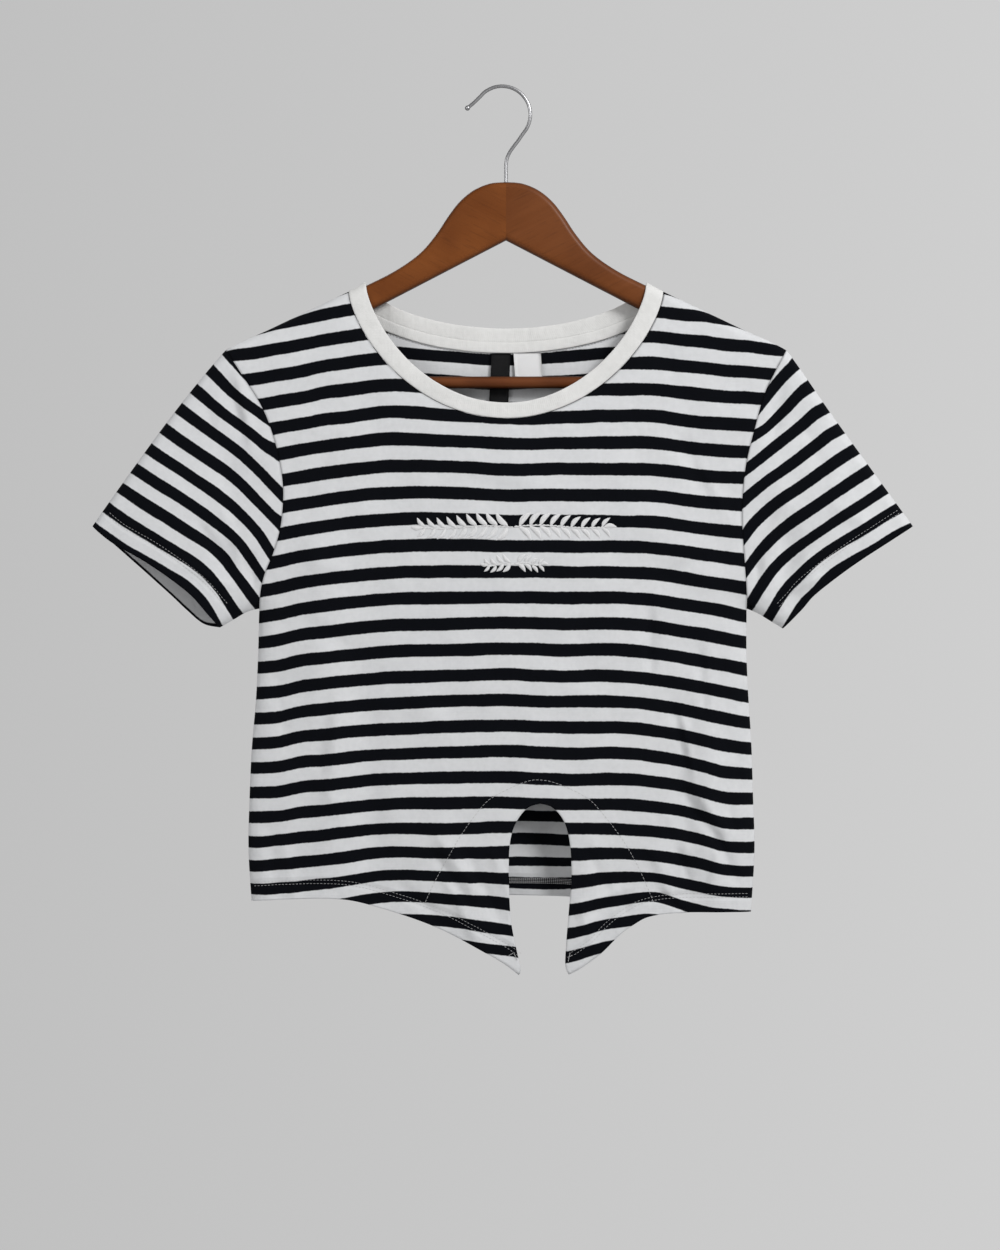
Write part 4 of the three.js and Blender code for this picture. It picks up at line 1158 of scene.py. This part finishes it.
def jersey():
    nodes = new_material("striped_jersey")
    place = nodes.place()
    # The first channel of the cloth map is painted shade: on the sleeves' inner wall it darkens the base
    # colour towards black by that share.
    inside, count = nodes.uv("cloth")[:2]
    from_hem, from_seam = nodes.uv("seams")[:2]
    shift = nodes.math("ADD", nodes.jitter(place, 420, 0.035), nodes.jitter(place, 30, 0.11))
    stripe = nodes.math("FRACT", nodes.math("ADD", count, shift))
    mottle = nodes.noise(place, 260, 4)
    white = nodes.mix(mottle, (0.555, 0.562, 0.572), (0.66, 0.665, 0.675))
    white = nodes.mix(nodes.math("MULTIPLY", nodes.noise(place, 22, 2), 0.35), white, (0.55, 0.56, 0.575))
    dark = nodes.mix(mottle, (0.001, 0.0014, 0.0026), (0.0032, 0.0038, 0.0058))
    mask = nodes.ramp(stripe, (0, 0.5), (0.016, 0), (0.474, 0), (0.506, 1), (0.984, 1), (1, 0.5))
    colour = nodes.mix(mask, dark, white)
    from_crease = nodes.math("ABSOLUTE", nodes.math("SUBTRACT", from_hem, HEM_DEPTH + 1.4))
    groove = nodes.ramp(nodes.math("DIVIDE", from_crease, 6), (0, 0), (0.25, 0.15), (0.7, 1))
    seam = nodes.ramp(nodes.math("DIVIDE", from_seam, 6), (0, 0), (0.2, 0.55), (0.75, 1))
    # Painted shade: the colour darkens towards each seam line, from 1.6 mm away, for the shade in the seam's
    # crease.
    shaded = nodes.ramp(nodes.math("DIVIDE", from_seam, 1.6), (0, 0.55), (1, 0))
    colour = nodes.mix(shaded, colour, nodes.multiply(colour, (0.35, 0.35, 0.36)))
    relief_height = nodes.multiply(groove, seam)
    return nodes.finished(SURFACE, {
        "Base Color": nodes.mix(inside, colour, 0),
        "Roughness": nodes.ramp(mottle, (0.2, 0.82), (0.8, 0.95)),
        "Normal": nodes.bump(relief_height, 0.0008, 0.9, after=knit_bump(nodes, place, 0.35)),
        "Specular IOR Level": 0.06,
        "Sheen Weight": 0.012,
        "Sheen Roughness": 0.5,
    })


def rib():
    nodes = new_material("white_rib")
    place = nodes.place()
    ribs = nodes.wave(nodes.uv("cloth")[0], 0.16)
    fine = nodes.bump(ribs, 0.0001, 0.25, after=knit_bump(nodes, place, 0.3))
    puckers = nodes.noise(nodes.stretch(place, (1, 1, 0.35)), 110, 2)
    return nodes.finished(SURFACE, {
        "Base Color": nodes.mix(nodes.noise(place, 240, 4), (0.60, 0.598, 0.585), (0.70, 0.698, 0.688)),
        "Normal": nodes.bump(puckers, 0.0012, 0.6, after=fine),
        "Roughness": 0.9,
        "Specular IOR Level": 0.18,
    })


def satin(name, low, high, roughness, shine=0.4):
    """Woven satin, as on labels and embroidery thread."""
    nodes = new_material(name)
    u, v = nodes.uv("cloth")[:2]
    weave = nodes.math("ADD", nodes.wave(u, 0.045), nodes.math("MULTIPLY", nodes.wave(v, 0.09), 0.4))
    share = nodes.math("ADD", nodes.math("MULTIPLY", weave, 0.3), 0.5)
    return nodes.finished(SURFACE, {
        "Base Color": nodes.mix(share, low, high),
        "Normal": nodes.bump(weave, 0.00012, 0.6),
        "Roughness": roughness,
        "Specular IOR Level": shine,
    })


def thread():
    nodes = new_material("white_thread")
    twist = nodes.noise(nodes.place(), 2400, 2)
    return nodes.finished(SURFACE, {
        # Painted shade: the white thread is coloured a grey darker than the cloth's white, for the shade along
        # its stitches.
        "Base Color": nodes.mix(twist, (0.33, 0.33, 0.34), 0.52),
        "Normal": nodes.bump(twist, 0.0001, 0.5),
        "Roughness": 0.6,
    })


def wood(name, lean, low, high):
    """Stained beech under varnish, with painted shade on the rounded edges. lean is the grain's fall outwards.
    """
    nodes = new_material(name)
    turned = nodes.stretch(nodes.place(), (1, 1, 1), lean)
    grain = nodes.noise(nodes.stretch(turned, (0.035, 1, 1)), 150, 4)
    pores = nodes.noise(nodes.stretch(turned, (0.05, 1, 1)), 1100, 2)
    cloud = nodes.noise(nodes.place(), 17, 2)
    deep = (low[0] * 0.62, low[1] * 0.55, low[2] * 0.5)
    colour = nodes.mix(nodes.ramp(grain, (0.3, 0), (0.72, 1)), low, high)
    colour = nodes.mix(nodes.ramp(cloud, (0.42, 0), (0.72, 0.75)), colour, deep)
    colour = nodes.multiply(colour, nodes.ramp(pores, (0.3, 0.82), (0.42, 1)))
    return nodes.finished(SURFACE, {
        # Painted shade: the colour falls to about a third where the surface faces up, down or sideways, on the
        # rounded edges.
        "Base Color": nodes.multiply(colour, nodes.ramp(nodes.flatness(), (0.1, 0.34), (0.9, 1))),
        "Roughness": nodes.ramp(grain, (0.3, 0.4), (0.7, 0.48)),
        "Normal": nodes.bump(grain, 0.0002, 0.2),
        "Specular IOR Level": 0.13,
        "Coat Weight": 0.06,
        "Coat Roughness": 0.3,
    })


def chrome():
    nodes = new_material("chrome_wire")
    cloudy = nodes.noise(nodes.place(), 60, 2)
    colour = nodes.mix(cloudy, (0.33, 0.33, 0.34), (0.48, 0.48, 0.49))
    return nodes.finished(SURFACE, {
        # Painted shade: the colour falls to 0.3 where the wire faces up, down or sideways rather than to the
        # front or back.
        "Base Color": nodes.multiply(colour, nodes.ramp(nodes.flatness(), (0.3, 0.3), (0.85, 1))),
        "Roughness": nodes.ramp(cloudy, (0.3, 0.34), (0.7, 0.42)),
        "Metallic": 1.0,
    })


def dress(obj, material, slot, *replaced):
    obj.data.materials.clear()
    obj.data.materials.append(material)
    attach(obj, "root")
    if replaced:
        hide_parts(*replaced)
    return obj


# Camera: the photograph's frame is 1000 mm tall and 800 mm wide at the garment, seen level and straight on
CAMERA_X = -1.6
CAMERA_Z = -429.6
FRAME_TALL = 1000
LENS = 85
SENSOR = 36
camera_data = bpy.data.cameras.new("camera")
camera_data.lens = LENS
camera_data.sensor_width = SENSOR
camera = bpy.data.objects.new("camera", camera_data)
camera.location = (CAMERA_X * MM, -FRAME_TALL * LENS / SENSOR * MM, CAMERA_Z * MM)
camera.rotation_euler = (math.pi / 2, 0, 0)
bpy.context.scene.collection.objects.link(camera)
bpy.context.scene.camera = camera


def area_light(name, place, size, power):
    data = bpy.data.lights.new(name, "AREA")
    data.size = size
    data.energy = power
    light = bpy.data.objects.new(name, data)
    light.location = place
    way = np.array(LIGHTS_AIM) - np.array(place)
    tilt = math.acos(-way[2] / np.linalg.norm(way))
    light.rotation_euler = (tilt, 0, math.atan2(way[1], way[0]) - math.pi / 2)
    bpy.context.scene.collection.objects.link(light)


LIGHTS_AIM = (0, 0, -0.42)
ROOM_IN_FRONT = 0.345
ROOM_BEHIND = 0.575
ROOM_SIDEWAYS = 0.28
FLOOR_HALF = 1500
FLOOR_Z = -1350


def studio():
    """A pale room, bright behind the garment and dimmer in front of it, with three soft lights."""
    scene = bpy.context.scene
    scene.view_settings.view_transform = "Standard"
    scene.world = bpy.data.worlds.new("studio")
    room = Nodes(scene.world)
    way = room.split(room.add("ShaderNodeTexCoord", {}).outputs["Generated"])
    behind = room.add("ShaderNodeMapRange", {
        "Value": way[1], "From Min": -0.2, "From Max": 0.8, "To Min": ROOM_IN_FRONT, "To Max": ROOM_BEHIND,
    })
    glow = room.math("MULTIPLY_ADD", way[0], ROOM_SIDEWAYS, behind.outputs["Result"])
    room.finished("Background", {"Color": glow})
    area_light("key", (1.45, -1.6, 0.95), 0.7, 46)
    area_light("fill", (-1.9, -1.5, 0.1), 1.4, 22)
    area_light("rear", (-0.6, 2.0, 0.8), 1.4, 12)
    corners = [(x * FLOOR_HALF, y * FLOOR_HALF, FLOOR_Z) for x, y in ((-1, -1), (1, -1), (1, 1), (-1, 1))]
    floor = mesh_object("floor", corners, [[0, 1, 2, 3]])
    floor.data.materials.append(new_material("pale_floor").finished(SURFACE, {
        "Base Color": (0.6, 0.6, 0.6, 1), "Roughness": 0.8,
    }))


def garment():
    cloth, white = jersey(), rib()
    white_thread = thread()
    front = dress(front_panel(), cloth, "jersey", "front")
    back = dress(back_panel(), cloth, "jersey", "back")
    left = dress(sleeve(LEFT, "sleeve_left_cloth"), cloth, "jersey", "sleeve_left")
    right = dress(sleeve(RIGHT, "sleeve_right_cloth"), cloth, "jersey", "sleeve_right")
    band = dress(neckband(), white, "rib", "neckband")
    tape = dress(neck_tape(), white, "rib", "neck_tape")
    dark_satin = satin("dark_satin", (0.0035, 0.0035, 0.004), (0.008, 0.008, 0.009), 0.55, 0.12)
    pale_satin = satin("pale_satin", (0.7, 0.705, 0.71), (0.82, 0.82, 0.82), 0.5)
    dark = dress(label("label_dark", *DARK_LABEL), dark_satin, "dark_label", "label_brand")
    pale = dress(label("label_pale", *PALE_LABEL), pale_satin, "white_label", "label_care")
    for make in (sewing, neck_stitches, tie_bars):
        dress(make(), white_thread, "rib")
    dress(embroidery(), satin("embroidery_thread", (0.6, 0.6, 0.61), (0.8, 0.8, 0.8), 0.4), "rib")


GRAIN_LEAN = math.radians(27)


def hanger():
    board = hanger_wood()
    left = wood("stained_wood_left", -GRAIN_LEAN, (0.162, 0.0465, 0.009), (0.188, 0.056, 0.0115))
    right = wood("stained_wood_right", GRAIN_LEAN, (0.132, 0.0385, 0.0088), (0.158, 0.048, 0.0122))
    dress(board, left, "stained_wood", "hanger_wood")
    board.data.materials.append(right)
    for polygon in board.data.polygons:
        polygon.material_index = int(polygon.center.x > MIDDLE * MM)
    bar = wood("stained_wood_bar", 0.0, (0.108, 0.031, 0.009), (0.142, 0.043, 0.013))
    dress(trouser_bar(), bar, "stained_wood", "hanger_bar")
    metal = chrome()
    wire, ball = hook_wire()
    dress(wire, metal, "chrome_wire", "hanger_hook")
    dress(ball, metal, "chrome_wire")


studio()
hanger()
garment()

bpy.context.view_layer.update()
